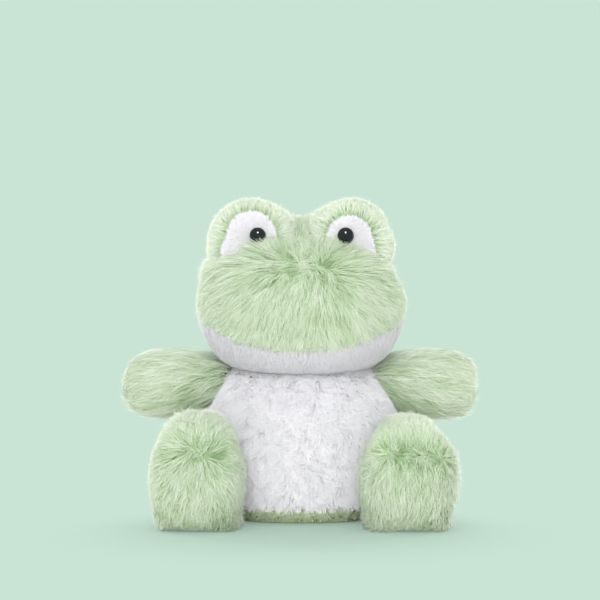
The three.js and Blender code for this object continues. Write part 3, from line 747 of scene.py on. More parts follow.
def base_pile(colours):
    # The roots are darker still, as in the other piles: painted shade deep in the pile.
    stops = [(0.05, tuple(0.7 * c for c in colours.shaded_base_green)), (1, colours.shaded_base_green)]
    return shared_material("Green bottom pile", pile_material, stops, 0.1, [(0, (0.72, 0.76, 0.72)), (1, (1, 1, 1))])


def textured(nodes, links, shader, pattern, stops, strength, depth):
    """Colours a shader through the stops by a pattern, which is also its relief."""
    ramp_node = colour_ramp(nodes, stops)
    relief = add_node(nodes, "Bump", {"Strength": strength, "Distance": depth})
    links.new(pattern, ramp_node.inputs["Fac"])
    links.new(ramp_node.outputs["Color"], shader.inputs["Base Color"])
    links.new(pattern, relief.inputs["Height"])
    links.new(relief.outputs["Normal"], shader.inputs["Normal"])


def fibre(name):
    """Loose white polyester fibre."""
    material, shader, nodes, links = new_material(name, {"Roughness": 0.95, "Sheen Weight": 0.3})
    place = add_node(nodes, "TexCoord")
    tangle = add_node(nodes, "TexNoise", {"Scale": 320, "Detail": 8, "Distortion": 2.5})
    links.new(place.outputs["Object"], tangle.inputs["Vector"])
    stops = [(0.3, (0.8, 0.8, 0.78)), (0.7, (0.94, 0.94, 0.92))]
    textured(nodes, links, shader, tangle.outputs["Fac"], stops, 0.6, 0.5 * MM)
    return material


def fibrefill():
    return shared_material("Polyester fibrefill", fibre)


def woven(name):
    """Plain-woven cotton: two sets of threads over each other."""
    material, shader, nodes, links = new_material(name, {"Roughness": 0.9})
    place = add_node(nodes, "TexCoord")
    weave = add_node(nodes, "Math", operation="MULTIPLY")
    for k, direction in enumerate("XY"):
        thread = add_node(nodes, "TexWave", {"Scale": 500, "Distortion": 0.6}, bands_direction=direction)
        links.new(place.outputs["Object"], thread.inputs["Vector"])
        links.new(thread.outputs["Fac"], weave.inputs[k])
    textured(nodes, links, shader, weave.outputs[0], [(0, (0.66, 0.61, 0.52)), (1, (0.82, 0.78, 0.69))], 0.5, 0.2 * MM)
    return material


def pouch_cloth():
    return shared_material("Pouch cotton", woven)


def plastic(name, values, scale, dark, pale):
    """Moulded plastic, very slightly uneven in colour."""
    material, shader, nodes, links = new_material(name, values)
    place = add_node(nodes, "TexCoord")
    cloud = add_node(nodes, "TexNoise", {"Scale": scale})
    colour = colour_ramp(nodes, [(0, dark), (1, pale)])
    links.new(place.outputs["Object"], cloud.inputs["Vector"])
    links.new(cloud.outputs["Fac"], colour.inputs["Fac"])
    links.new(colour.outputs["Color"], shader.inputs["Base Color"])
    return material


def eye_plastic(colours):
    gloss = {"Roughness": 0.04, "Specular IOR Level": 0.35}
    pale = tuple(1.6 * c for c in colours.eye_black)
    return shared_material("Black eye plastic", plastic, gloss, 400, colours.eye_black, pale)


def washer_plastic():
    dark, pale = (0.66, 0.68, 0.68), (0.8, 0.82, 0.82)
    return shared_material("Clear washer plastic", plastic, {"Roughness": 0.4}, 250, dark, pale)


# Pieces


def settings_of(context):
    """The scene's sizes, pile and colours, and every form made from the sizes."""
    scene = context.scene
    return scene.frog_sizes, scene.frog_pile, scene.frog_colours, forms(scene.frog_sizes)


class FROG_OT_torso(bpy.types.Operator):
    """Makes the white belly, the green back and the green bottom panel, with what fills them"""

    bl_idname = "frog.torso"
    bl_label = "Torso"

    def execute(self, context):
        sizes, pile, colours, form = settings_of(context)
        torso, belly, head = form["torso"], form["belly"], form["head"]
        limbs = [form[f"{name}_{limb}"] for name, _ in SIDES for limb in ("leg", "arm")]
        rim = sizes.base_rim
        rng = np.random.default_rng(11)

        def uncovered(points):
            """Places that no limb hides, and a way in under the head, which nods."""
            in_limbs = np.max([limb.depth(points) for limb in limbs], axis=0)
            return (in_limbs < 0.2) & (head.depth(points) < 0.34)

        def above_rim(points):
            """Shorter where a full strand would hang over the bottom panel's edge."""
            return np.clip((points[:, 2] - rim - 1 * MM) / pile.long_pile, 0.1, 0.95)

        def belly_comb(points):
            """Down and away from the middle, in short ripples."""
            x, z = points[:, 0], points[:, 2]
            part = np.sign(x) * 0.3 * np.exp(-np.abs(x) / 0.012) * (1 - ramp(z, 0.07, 0.08))
            down = -0.55 + 0.35 * ripple(points, 0.008, 9)
            lay = np.stack([part + 0.8 * ripple(points, 0.009, 5), 0.3 * ripple(points, 0.012, 6), down], axis=1)
            return 0.8 * unit(lay)

        def belly_heights(points):
            """Lower along the middle seam, higher under the jaw, and a little uneven."""
            seam = 0.1 * bell(points[:, 0] / 0.0018)
            return 1 - seam + 0.1 * ripple(points, 0.01, 12) + 0.25 * ramp(points[:, 2], 0.083, 0.091)

        def belly_tones(points):
            # Random ripples, darker high up as painted shade, and paler at the sides as painted light against the shade
            # beside the arms and legs.
            aside, z = np.abs(points[:, 0]), points[:, 2]
            return 0.2 * ripple(points, 0.007, 14) - 0.15 * ramp(z, 0.055, 0.075) + 0.4 * ramp(aside, 0.028, 0.05)

        def belly_pile(points):
            """Most places low down, and all of them near the jaw."""
            crowded = rng.random(len(points)) < 0.62 + 0.38 * ramp(points[:, 2], 0.05, 0.07)
            return (points[:, 2] > rim + 2.5 * MM) & uncovered(points) & crowded

        def back_comb(points):
            """Down, drifting a little."""
            drift = [0.2 * ripple(points, 0.05, seed) for seed in (7, 8)]
            return np.stack([*drift, np.full(len(points), -1.0)], axis=1)

        def base_comb(points):
            """Outwards and down."""
            return np.stack([points[:, 0] / 0.06, points[:, 1] / 0.06, np.full(len(points), -0.4)], axis=1)

        skin = belly.skin(4.6 * MM, lambda p: (p[:, 1] < BACK_SEAM) & (p[:, 2] >= rim))
        piece = fabric(
            "belly_fur", "belly_panel", white_pile(colours), "white_fur", belly, skin, belly_comb, rng,
            strand_count(skin, pile, 1.45), 0.7 * pile.long_pile, 1.3 * pile.strand_width, pale_backing=False,
            keep=belly_pile, lengths=above_rim, heights=belly_heights, rise=(0.7, 1.04), per_tuft=6, tuft=1.3 * MM,
            gather=0.2, splay=0.4, uneven=0.35, tones=belly_tones, tone_seed=1, facing=(0, -1, 0.15), soften=0.75)
        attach(piece, "torso")

        skin = torso.skin(6 * MM, lambda p: (p[:, 1] >= BACK_SEAM) & (p[:, 2] >= rim))
        piece = fabric(
            "back_fur", "back_panel", green_pile(colours), "green_fur", torso, skin, back_comb, rng,
            strand_count(skin, pile), pile.long_pile, pile.strand_width,
            keep=lambda p: (p[:, 2] > rim + 2.5 * MM) & uncovered(p), lengths=above_rim, per_tuft=10, tuft=1.5 * MM,
            gather=0.5, wisps=0.04, tone_seed=2, hollows=evenly(0.12), facing=(0, 1, 0.1), soften=0.3)
        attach(piece, "torso")

        skin = torso.skin(2.5 * MM, lambda p: p[:, 2] <= rim + 3 * MM)
        piece = fabric(
            "base_fur", "base_panel", base_pile(colours), "green_fur", torso, skin, base_comb, rng,
            BASE_STRANDS, 4 * MM, pile.strand_width,
            keep=lambda p: p[:, 2] > 0.5 * MM, lengths=lambda p: np.clip(p[:, 2] / 0.004, 0.4, 1), rise=(0.5, 1.1),
            per_tuft=6, tuft=1.1 * MM, splay=0.6, wave=0.5 * MM, ridged=False)
        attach(piece, "torso")

        low, high = (Vector(corner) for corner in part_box("pellet_pouch"))
        middle, half = (low + high) / 2, (high - low) / 2
        place = Matrix.Translation((middle.x, middle.y, low.z))
        pad = Form(POUCH_RINGS, 2 * half.z, half.x, half.y, 2.6, place, around=64, along=40)
        bag = filling("pellet_bag", [pad.skin(0.4 * MM)], "pellet_pouch", pouch_cloth(), 1.2 * MM)
        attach(bag, "torso")
        stuffing = torso.skin(8 * MM)
        stuffing["points"][:, 2] = np.maximum(stuffing["points"][:, 2], high.z + 0.5 * MM)  # it lies on the pouch
        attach(filling("body_fill", [stuffing], "body_stuffing", fibrefill()), "torso")
        return {"FINISHED"}


class FROG_OT_head(bpy.types.Operator):
    """Makes the green face and crown, and the white jaw, with what fills them"""

    bl_idname = "frog.head"
    bl_label = "Head"

    def execute(self, context):
        sizes, pile, colours, form = settings_of(context)
        head, bumps = form["head"], [form["right_bump"], form["left_bump"]]
        whorl = away_from(*FACE_WHORL)
        rng = np.random.default_rng(21)

        def outside_bumps(points):
            return np.max([bump.depth(points) for bump in bumps], axis=0) < 0.06

        def above_mouth(points, by=0.0):
            return points[:, 2] > mouth_height(points[:, 0], sizes) + by

        def on_jaw(points):
            return (points[:, 1] < JAW_END) & ~above_mouth(points)

        def comb(points):
            """Away from the whorl, and down the back of the head."""
            lay = whorl(points) / 0.016
            near = np.clip(np.linalg.norm(lay, axis=1, keepdims=True), 1e-6, 1)
            lay = unit(lay) * near
            lay[:, 2] -= np.clip(points[:, 1] / 0.05, 0, 1) * 1.2
            return lay + near * 0.16 * ripple(points, 0.03, 3)[:, None] * np.array([1, 0, 0.5])

        def to_mouth(points):
            """Shorter where a full strand would hang over the mouth, and on the forehead."""
            fall = np.maximum(-unit(comb(points))[:, 2], 0.25) * pile.long_pile
            room = points[:, 2] - mouth_height(points[:, 0], sizes) + 1.5 * MM
            share = np.where(points[:, 1] < JAW_END, np.clip(room / fall, 0.3, 1.1), 1)
            return share * (1 - 0.3 * ramp(points[:, 2], 0.158, 0.172))

        def side_heights(points):
            """Lower at the upper left of the head, which is narrower there, and higher between the eye bumps."""
            x, z = points[:, 0], points[:, 2]
            saddle = 0.4 * bell((np.abs(x) - 0.0075) / 0.004) * ramp(z, 0.172, 0.180)
            return 1 - 0.75 * ramp(x, 0.04, 0.056) * ramp(z, 0.142, 0.152) + saddle

        def brow_heights(points):
            """Higher also in front of the eye patches, and below the right eye bump's outer side."""
            x, ahead, z = points[:, 0], -points[:, 1], points[:, 2]
            aside = np.abs(x)
            by_eye = 0.5 * ramp(z, 0.150, 0.160) * ramp(ahead, 0.030, 0.036) * ramp(aside, 0.006, 0.014)
            inner = bell((aside - 0.0165) / 0.009, (z - 0.166) / 0.007) * ramp(ahead, 0.028, 0.034)
            cheek = 0.35 * bell((x + 0.052) / 0.006, (z - 0.162) / 0.006)
            return side_heights(points) + by_eye + np.where(x < 0, 0.7, 0.4) * inner + cheek

        def face_tones(points):
            """Darker round the whorl, painted shade where the pile stands up, and in the middle of the muzzle."""
            middle = bell(*(whorl(points) / (0.014, 0.03, 0.014)).T)
            muzzle = bell(points[:, 0] / 0.022, (points[:, 2] - 0.136) / 0.014)
            return 0.12 * ripple(points, 0.005, 16) - 0.14 * middle - 0.14 * muzzle

        def jaw_comb(points):
            """Down and a little back."""
            return np.stack([0.3 * points[:, 0] / 0.06, evenly(0.25)(points), evenly(-1.0)(points)], axis=1)

        skin = head.skin(6 * MM, lambda p: ~on_jaw(p) & (p[:, 1] < CROWN_SEAM))
        piece = fabric(
            "face_fur", "face_panel", green_pile(colours), "green_fur", head, skin, comb, rng,
            strand_count(skin, pile, 1.25), pile.long_pile, pile.strand_width,
            keep=lambda p: above_mouth(p, 3 * MM) & outside_bumps(p), lengths=to_mouth, heights=brow_heights,
            tuft=1.6 * MM, gather=0.5, wisps=0.04, tones=face_tones, tone_seed=21,
            hollows=lambda p: 0.22 - 0.12 * ramp(p[:, 2], 0.15, 0.165), facing=(0, -1, 0.1), soften=0.15)
        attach(piece, "head")

        skin = head.skin(6 * MM, lambda p: ~on_jaw(p) & (p[:, 1] >= CROWN_SEAM))
        piece = fabric(
            "crown_fur", "crown_panel", green_pile(colours), "green_fur", head, skin, comb, rng,
            strand_count(skin, pile, 0.95), pile.long_pile, pile.strand_width,
            keep=outside_bumps, heights=side_heights, per_tuft=10, tuft=1.5 * MM, gather=0.5, wisps=0.04,
            tone_seed=22, hollows=evenly(0.12), facing=(0, 0.7, 0.7), soften=0.3)
        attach(piece, "head")

        skin = head.skin(3.2 * MM, lambda p: (p[:, 1] < JAW_END + 2.5 * MM) & ~above_mouth(p, 5 * MM))
        outer = skin["outer"]
        hidden = np.maximum(ramp(outer[:, 2] - mouth_height(outer[:, 0], sizes), 0, 3 * MM),
                            ramp(outer[:, 1] - JAW_END, -1 * MM, 2.5 * MM))
        skin["points"] -= skin["normals"] * (2.5 * MM * hidden)[:, None]  # goes on under the green pile
        piece = fabric(
            "jaw_fur", "jaw_panel", white_pile(colours), "white_fur", head, skin, jaw_comb, rng,
            strand_count(skin, pile, 2.0), pile.short_pile, pile.strand_width,
            keep=lambda p: ~above_mouth(p, 1.2 * MM) & (p[:, 1] < JAW_END + 0.5 * MM), rise=(0.75, 0.95),
            per_tuft=5, tuft=1.4 * MM, gather=0.1, splay=0.15, wave=0.25 * MM, wisps=0.05, uneven=0.15,
            # The jaw's pile is toned down all over: painted shade, as the jaw faces the floor.
            tones=evenly(-0.55), tone_seed=23, ridged=False, under=0.9, facing=(0, -0.35, -0.94), soften=0.15)
        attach(piece, "head")

        inside = [head.skin(8 * MM)] + [bump.skin(7.5 * MM) for bump in bumps]
        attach(filling("head_fill", inside, "head_stuffing", fibrefill()), "head")
        return {"FINISHED"}


class FROG_OT_eye_bumps(bpy.types.Operator):
    """Makes the green hoods of the eye bumps and their white velour patches"""

    bl_idname = "frog.eye_bumps"
    bl_label = "Eye Bumps"

    def execute(self, context):
        sizes, pile, colours, form = settings_of(context)
        head, middle = form["head"], bump_height(sizes)
        patch_radius = 0.64 * sizes.bump_radius
        for k, (name, side) in enumerate(SIDES):
            bump = form[f"{name}_bump"]
            x = side * sizes.bumps_apart / 2
            rng = np.random.default_rng(31 + k)

            def from_middle(points):
                return np.hypot(points[:, 0] - x, points[:, 2] - middle)

            def on_patch(points, by=0.0):
                """The round that the whole patch covers, or more of its bump by so much."""
                return (points[:, 1] < PATCH_BACK) & (from_middle(points) < patch_radius + by)

            def past_edge(points):
                """How far places are outside the shown part of the patch, whose rounds run into each other."""
                beyond = [np.hypot(points[:, 0] - x - aside * MM, points[:, 2] - middle - up * MM) - radius * MM
                          for aside, up, radius in PATCH_ROUNDS[name]]
                return -1.2 * MM * np.log(np.sum(np.exp(-np.array(beyond) / (1.2 * MM)), axis=0))

            def bare(points, by=0.0):
                """Where the hood's pile leaves the patch to be seen."""
                return (points[:, 1] < PATCH_BACK) & (past_edge(points) < by)

            def hood_heights(points):
                """Higher round the patch and beside the head. The left bump is flatter at its outer side."""
                out = side * (points[:, 0] - x) / sizes.bump_radius
                up = (points[:, 2] - middle) / sizes.bump_radius
                flat = (0.6 if name == "left" else 0) * bell((out - 0.85) / 0.3, (up - 0.35) / 0.3)
                rim = 0.3 * bell(past_edge(points) / (3 * MM)) * (points[:, 1] < PATCH_BACK)
                saddle = 0.45 * bell((out + 0.85) / 0.25, (up - 0.5) / 0.25)
                hem = (0.6 if name == "right" else 0) * bell((out - 0.9) / 0.25, (up + 0.5) / 0.25)
                return 1 - flat + rim + saddle + hem

            def hood_comb(points):
                """Backwards and away from the bump's middle."""
                away = np.maximum(from_middle(points), 1e-6)
                lay = [(points[:, 0] - x) / away, evenly(0.9)(points), (points[:, 2] - middle) / away]
                return unit(np.stack(lay, axis=1)) + 0.15 * ripple(points, 0.02, 31)[:, None] * np.array([1, 0, 0])

            def patch_comb(points):
                """Away from the patch's middle, where the pile stands up."""
                lay = np.stack([points[:, 0] - x, evenly(0.0)(points), points[:, 2] - middle - 0.001], axis=1)
                return 0.8 * lay / patch_radius

            skin = bump.skin(5 * MM, lambda p: ~on_patch(p, -1.5 * MM) | ~bare(p, -1.5 * MM))
            piece = fabric(
                f"{name}_hood_fur", f"{name}_eye_hood", green_pile(colours), "green_fur", bump, skin, hood_comb, rng,
                strand_count(skin, pile, 1.5), 0.62 * pile.long_pile, 1.1 * pile.strand_width,
                keep=lambda p: ~bare(p, 0.9 * MM) & (head.depth(p) < 0.12), heights=hood_heights, rise=(0.9, 1.0),
                per_tuft=4, tuft=1.3 * MM, gather=0.05, splay=0.3, wave=0.6 * MM, tones=evenly(0.32),
                tone_seed=31 + k, facing=(0, -0.8, 0.5), soften=0.25, speckle=0.05)
            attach(piece, "head")

            skin = bump.skin(2.6 * MM, lambda p: on_patch(p, 1 * MM) | bare(p, 1.5 * MM))
            beyond = ramp(past_edge(skin["outer"]), 0.3 * MM, 2.5 * MM)
            skin["points"] -= skin["normals"] * (2.4 * MM * beyond)[:, None]  # goes on under the hood's pile
            piece = fabric(
                f"{name}_patch_velour", f"{name}_eye_patch", velour(colours), "white_velour", bump, skin, patch_comb,
                rng, PATCH_STRANDS, pile.velour_pile, 0.7 * pile.strand_width,
                keep=lambda p: bare(p, 0.6 * MM), rise=(0.6, 0.8), per_tuft=4, tuft=0.9 * MM, gather=0.1,
                wave=0.1 * MM, wisps=0, uneven=0.1, ridged=False, taper=(1, 0.9, 0.7))
            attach(piece, "head")
        return {"FINISHED"}


class FROG_OT_eyes(bpy.types.Operator):
    """Makes the glossy safety eyes and gives the hidden washers their plastic"""

    bl_idname = "frog.eyes"
    bl_label = "Eyes"

    def execute(self, context):
        scene = context.scene
        sizes, colours = scene.frog_sizes, scene.frog_colours
        radius, z, around = sizes.eye_radius, bump_height(sizes) + 0.004, 48
        turns = [2 * math.pi * k / around for k in range(around)]
        for name, side in SIDES:
            x = side * sizes.eyes_apart / 2
            points = [(x + share * radius * math.cos(turn), EYE_BACK - ahead * MM, z + share * radius * math.sin(turn))
                      for share, ahead in EYE_PROFILE for turn in turns]
            mesh = bpy.data.meshes.new(f"{name}_eye_dome")
            mesh.from_pydata(points, [], ring_faces(len(EYE_PROFILE), around))
            mesh.polygons.foreach_set("use_smooth", [True] * len(mesh.polygons))
            mesh.materials.append(eye_plastic(colours))
            eye = bpy.data.objects.new(f"{name}_eye_dome", mesh)
            scene.collection.objects.link(eye)
            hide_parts(f"{name}_eye")
            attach(eye, "head")
            for part in bpy.data.objects:
                if part.name == f"{name}_eye_washer" and part.type == "MESH":
                    for slot in part.material_slots:
                        slot.material = washer_plastic()
        return {"FINISHED"}


class FROG_OT_arms(bpy.types.Operator):
    """Makes both arms"""

    bl_idname = "frog.arms"
    bl_label = "Arms"

    def execute(self, context):
        sizes, pile, colours, form = settings_of(context)
        for k, (name, side) in enumerate(SIDES):
            arm, left = form[f"{name}_arm"], name == "left"
            rng = np.random.default_rng(41 + k)
            fan = away_from((side * 0.02, -0.004, 0.094), (side * 0.02, 0.004, 0.094))

            def comb(points):
                """Outwards from the shoulder and a little down, drifting."""
                lay = unit(fan(points))
                lay[:, 2] -= 0.15
                return unit(lay) + 0.22 * ripple(points, 0.022, 8 + k)[:, None] * np.array([0, 0.5, 1])

            def heights(points):
                """Lower at the tips, fuller underneath, and high where the arm meets the neck."""
                x, z = np.abs(points[:, 0]), points[:, 2]
                root = 1 - ramp(x, 0.056, 0.074)
                high = ramp(z, 0.074, 0.092)
                high += 5 * high * (1 - ramp(x, 0.044, 0.056))
                tip = ramp(x, 0.098, 0.108) * (0.7 if left else 0)
                tip += ramp(x, 0.084, 0.102) * (1 - ramp(z, 0.064, 0.08)) * (0.5 if left else 0.1)
                under = (1 - ramp(z, 0.065, 0.078)) * ramp(x, 0.05, 0.06) * (0.65 if left else 0.55)
                return 1 + root * (0.1 * high - 0.2 * (1 - np.minimum(high, 1))) - tip + under

            def hollows(points):
                """More of them low at the root, where their darker tone is painted shade."""
                low = 1 - ramp(points[:, 2], 0.078, 0.098)
                return 0.18 + 0.25 * (0.3 + 0.7 * low) * (1 - ramp(np.abs(points[:, 0]), 0.06, 0.09))

            def tones(points):
                """Paler round the rim, a painted rim light, and darker low at the root between the locks, painted
                shade. The left arm is paler all over: painted light for the side that the lamps reach less.
                """
                x, z = np.abs(points[:, 0]), points[:, 2]
                rim = ramp(np.abs(z - arm.middle[2]) / sizes.arm_half_height, 0.6, 0.95)
                low = 1 - ramp(z, 0.074, 0.096)
                between = 1 - 1.1 * ripple(points * (0.35, 1, 1), 0.0026, 19)
                root = (1 - ramp(x, 0.054, 0.08)) * (0.1 + 0.34 * low) * between
                return (0.3 if left else 0.12) + 0.48 * rim - 0.12 * low - root + 0.14 * ripple(points, 0.006, 15)

            for panel, beside, way in (("front", "belly", -1), ("back", "torso", 1)):
                skin = arm.skin(5.5 * MM, lambda p: (p[:, 1] < 0) == (way < 0))
                piece = fabric(
                    f"{name}_arm_{panel}_fur", f"{name}_arm_{panel}_panel", green_pile(colours), "green_fur", arm, skin,
                    comb, rng, strand_count(skin, pile, 1.6), 1.05 * pile.long_pile, pile.strand_width,
                    keep=lambda p: np.maximum(form[beside].depth(p), form["head"].depth(p)) < 0.12, heights=heights,
                    rise=(0.5, 1.03), per_tuft=9, tuft=1.3 * MM, gather=0.75, splay=0.15, wave=1.3 * MM, locks=True,
                    wisps=0.03, tones=tones, tone_seed=41 + k, hollows=hollows, segments=3, facing=(0, way, 0.2),
                    soften=0.4)
                bend(piece, f"{name}_arm", side, ARM_BEND)
            piece = filling(f"{name}_arm_fill", [arm.skin(7 * MM)], f"{name}_arm_stuffing", fibrefill())
            bend(piece, f"{name}_arm", side, ARM_BEND)
        return {"FINISHED"}


class FROG_OT_legs(bpy.types.Operator):
    """Makes both legs, with the partings where their pile turns"""

    bl_idname = "frog.legs"
    bl_label = "Legs"

    def execute(self, context):
        sizes, pile, colours, form = settings_of(context)
        for k, (name, side) in enumerate(SIDES):
            leg, left = form[f"{name}_leg"], name == "left"
            rng = np.random.default_rng(51 + k)
            spread = away_from(*LEG_PARTINGS[name])

            def comb(points):
                """Away from the parting, where the pile stands up."""
                lay = spread(points) / 0.005
                near = np.clip(np.linalg.norm(lay, axis=1, keepdims=True), 1e-6, 1)
                return near * (unit(lay) + 0.2 * ripple(points, 0.025, 9 + k)[:, None] * np.array([1, 0, 0.3]))

            def lengths(points):
                """Shorter near the floor."""
                return 1 - 0.35 * np.clip((0.012 - points[:, 2]) / 0.012, 0, 1)

            def tones(points):
                """Darker at the parting and near the floor, painted shade, and paler on top, painted light."""
                z = points[:, 2]
                parting = 0.22 * bell(np.linalg.norm(spread(points), axis=1) / 0.011)
                return 0.06 - parting - 0.2 * (1 - ramp(z, 0.006, 0.04)) + 0.25 * ramp(z, 0.05, 0.06)

            def heights(points):
                """Lower at the upper corners, where the leg narrows, and fuller where the foot spreads on the floor."""
                z = points[:, 2]
                out = side * (points[:, 0] - side * sizes.legs_apart / 2) / sizes.leg_half_width
                outer = 0.75 * ramp(out, 0.25, 0.85) * ramp(z, 0.036, 0.058)
                inner = (0.7 if left else 0.45) * ramp(-out, 0.25, 0.75) * ramp(z, 0.036, 0.052)
                low = (0.25 if left else -0.35) * ramp(out, 0.5, 0.9) * (1 - ramp(z, 0.038, 0.056))
                foot = np.where(out < 0, 1.8, 1.2) * ramp(np.abs(out), 0.35, 0.72) * (1 - ramp(z, 0.004, 0.02))
                crest = (0 if left else 0.4) * ramp(z, 0.05, 0.062) * (1 - ramp(out, 0.15, 0.5))
                return 1 - outer + low + foot + crest - inner

            for panel, part in (("top", lambda p: p[:, 2] >= LEG_SEAM), ("sole", lambda p: p[:, 2] < LEG_SEAM)):
                skin = leg.skin(6 * MM, part)
                piece = fabric(
                    f"{name}_leg_{panel}_fur", f"{name}_leg_{panel}_panel", green_pile(colours), "green_fur", leg, skin,
                    comb, rng, strand_count(skin, pile, 1.35), 0.75 * pile.long_pile, pile.strand_width,
                    keep=lambda p: (form["torso"].depth(p) < 0.1) & (p[:, 2] > 1.5 * MM), lengths=lengths,
                    heights=heights, per_tuft=9, tuft=1.5 * MM, gather=0.45, splay=0.27, tones=tones,
                    tone_seed=51 + k, hollows=lambda p: 0.26 - 0.16 * ramp(p[:, 2], 0.045, 0.06))
                bend(piece, f"{name}_leg", side, LEG_BEND)
            piece = filling(f"{name}_leg_fill", [leg.skin(8 * MM)], f"{name}_leg_stuffing", fibrefill())
            bend(piece, f"{name}_leg", side, LEG_BEND)
        return {"FINISHED"}


# Stage


def mix_shaders(nodes, links, factor, first, second):
    """A shader that goes from the first to the second as the factor goes from 0 to 1."""
    mix = nodes.new("ShaderNodeMixShader")
    links.new(factor, mix.inputs["Fac"])
    links.new(first, mix.inputs[1])
    links.new(second, mix.inputs[2])
    return mix.outputs["Shader"]


def background_rays(nodes, links):
    """1 for the rays that see the background itself: from the camera, or by way of gloss or glass."""
    path = nodes.new("ShaderNodeLightPath")
    total = path.outputs["Is Camera Ray"]
    for kind in ("Is Glossy Ray", "Is Transmission Ray"):
        either = nodes.new("ShaderNodeMath")
        either.operation = "MAXIMUM"
        links.new(total, either.inputs[0])
        links.new(path.outputs[kind], either.inputs[1])
        total = either.outputs[0]
    return total


def studio_paper(studio):
    """Paper that takes the frog's shadow near it, and is as plain as the background farther away."""
    material, paper, nodes, links = new_material("Studio paper", {"Roughness": 0.9, "Specular IOR Level": 0.1})
    paper.inputs["Base Color"].default_value = (*(c * PAPER_SHADE for c in studio), 1)
    place = add_node(nodes, "TexCoord")
    away = add_node(nodes, "VectorMath", {1: (0, -0.09, 0)}, operation="DISTANCE")
    fade = add_node(nodes, "MapRange", {"From Min": 0.07, "From Max": 0.16, "To Min": 0.3},
                    interpolation_type="SMOOTHSTEP")
    plain = add_node(nodes, "Emission", {"Color": (*studio, 1)})
    bounce = add_node(nodes, "BsdfDiffuse", {"Color": (0.9, 0.9, 0.9, 1)})
    links.new(place.outputs["Object"], away.inputs[0])
    links.new(away.outputs["Value"], fade.inputs["Value"])
    shown = mix_shaders(nodes, links, fade.outputs["Result"], paper.outputs["BSDF"], plain.outputs["Emission"])
    both = mix_shaders(nodes, links, background_rays(nodes, links), bounce.outputs["BSDF"], shown)
    links.new(both, nodes["Material Output"].inputs["Surface"])
    return material


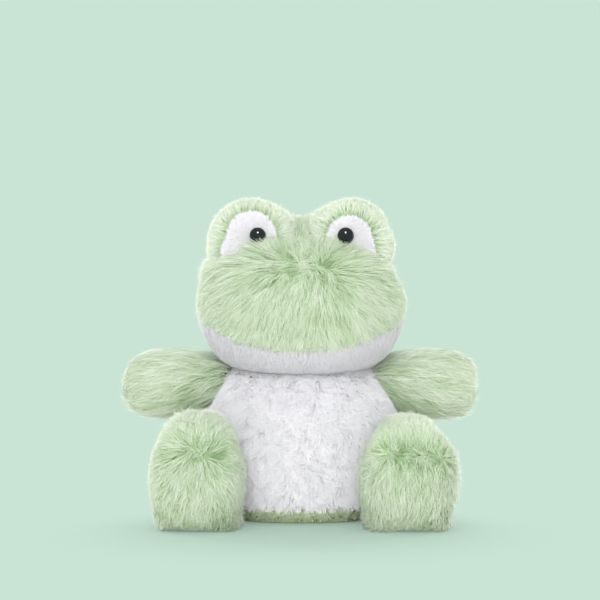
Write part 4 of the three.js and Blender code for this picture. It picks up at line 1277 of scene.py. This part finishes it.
class FROG_OT_stage(bpy.types.Operator):
    """Sets up the floor, the background, the soft lights and the camera"""

    bl_idname = "frog.stage"
    bl_label = "Stage"

    def execute(self, context):
        scene = context.scene
        studio = scene.frog_colours.studio

        # A distant camera, a little above the floor's level, that sees a square of 0.372 m at the frog
        aim = Vector((-0.001, 0, 0.1346))
        rise, distance, seen_width = math.radians(1.5), 1.5, 0.372
        camera = bpy.data.cameras.new("Camera")
        camera.sensor_width = 36
        camera.lens = 36 * distance / seen_width
        eye = bpy.data.objects.new("Camera", camera)
        eye.location = aim + distance * Vector((0, -math.cos(rise), math.sin(rise)))
        eye.rotation_euler = (aim - eye.location).to_track_quat("-Z", "Y").to_euler()
        scene.collection.objects.link(eye)
        scene.camera = eye

        around, rings = 96, (0, 0.15, 0.3, 0.5, 0.8, 1.2)
        turns = [2 * math.pi * k / around for k in range(around)]
        points = [(r * math.cos(turn), r * math.sin(turn), 0) for r in rings for turn in turns]
        mesh = bpy.data.meshes.new("Studio floor")
        mesh.from_pydata(points, [], ring_faces(len(rings), around))
        mesh.materials.append(studio_paper(studio))
        floor = bpy.data.objects.new("Studio floor", mesh)
        scene.collection.objects.link(floor)

        world = bpy.data.worlds.new("Studio")
        scene.world = world
        world.use_nodes = True
        nodes, links = world.node_tree.nodes, world.node_tree.links
        shown = nodes["Background"]
        shown.inputs["Color"].default_value, shown.inputs["Strength"].default_value = (*studio, 1), 1
        light = add_node(nodes, "Background", {"Color": (1, 1, 1, 1), "Strength": 0.98})
        both = mix_shaders(nodes, links, background_rays(nodes, links), light.outputs["Background"],
                           shown.outputs["Background"])
        links.new(both, nodes["World Output"].inputs["Surface"])

        for name, place, size, power, tint in (
            ("Key light", (-0.2, -1.25, 0.9), 0.7, 6, (1, 0.995, 0.98)),
            ("Catch light", (0.0, -1.0, 0.9), 0.36, 18, (1, 1, 1)),
            ("Front light", (-0.05, -1.6, 0.25), 1.2, 9, (1, 1, 1)),
            ("Back light", (0.05, 1.6, 0.35), 1.2, 8, (1, 0.995, 0.97)),
            ("Right back light", (-1.1, 0.9, 0.7), 0.8, 8, (1, 0.995, 0.96)),
            ("Left back light", (1.1, 0.9, 0.7), 0.8, 8, (1, 0.995, 0.96)),
        ):
            lamp = bpy.data.lights.new(name, "AREA")
            lamp.shape, lamp.size, lamp.energy, lamp.color = "DISK", size, power, tint
            holder = bpy.data.objects.new(name, lamp)
            holder.location = place
            holder.rotation_euler = (aim - Vector(place)).to_track_quat("-Z", "Y").to_euler()
            scene.collection.objects.link(holder)
            # Only the catch light is seen in the eyes, and it lights nothing else
            holder.visible_diffuse = name != "Catch light"
            holder.visible_glossy = name == "Catch light"
        scene.view_settings.view_transform = "Standard"
        return {"FINISHED"}


class FROG_PT_build(bpy.types.Panel):
    """Lists the frog's settings and pieces"""

    bl_label = "Plush Frog"
    bl_idname = "FROG_PT_build"
    bl_space_type = "VIEW_3D"
    bl_region_type = "UI"
    bl_category = "Plush Frog"

    def draw(self, context):
        layout, scene = self.layout, context.scene
        for operator in OPERATORS:
            layout.operator(operator.bl_idname)
        for group in (scene.frog_pile, scene.frog_colours, scene.frog_sizes):
            box = layout.box()
            for name in group.bl_rna.properties.keys():
                if name not in ("rna_type", "name"):
                    box.prop(group, name)


OPERATORS = (FROG_OT_stage, FROG_OT_torso, FROG_OT_head, FROG_OT_eye_bumps, FROG_OT_eyes, FROG_OT_arms, FROG_OT_legs)
CLASSES = (FROG_PG_sizes, FROG_PG_pile, FROG_PG_colours, *OPERATORS, FROG_PT_build)


def register():
    for each in CLASSES:
        bpy.utils.register_class(each)
    bpy.types.Scene.frog_sizes = PointerProperty(type=FROG_PG_sizes)
    bpy.types.Scene.frog_pile = PointerProperty(type=FROG_PG_pile)
    bpy.types.Scene.frog_colours = PointerProperty(type=FROG_PG_colours)


def unregister():
    del bpy.types.Scene.frog_colours, bpy.types.Scene.frog_pile, bpy.types.Scene.frog_sizes
    for each in reversed(CLASSES):
        bpy.utils.unregister_class(each)


def main():
    register()
    bpy.ops.frog.stage()
    bpy.ops.frog.torso()
    bpy.ops.frog.head()
    bpy.ops.frog.eye_bumps()
    bpy.ops.frog.eyes()
    bpy.ops.frog.arms()
    bpy.ops.frog.legs()


if __name__ == "__main__":
    main()
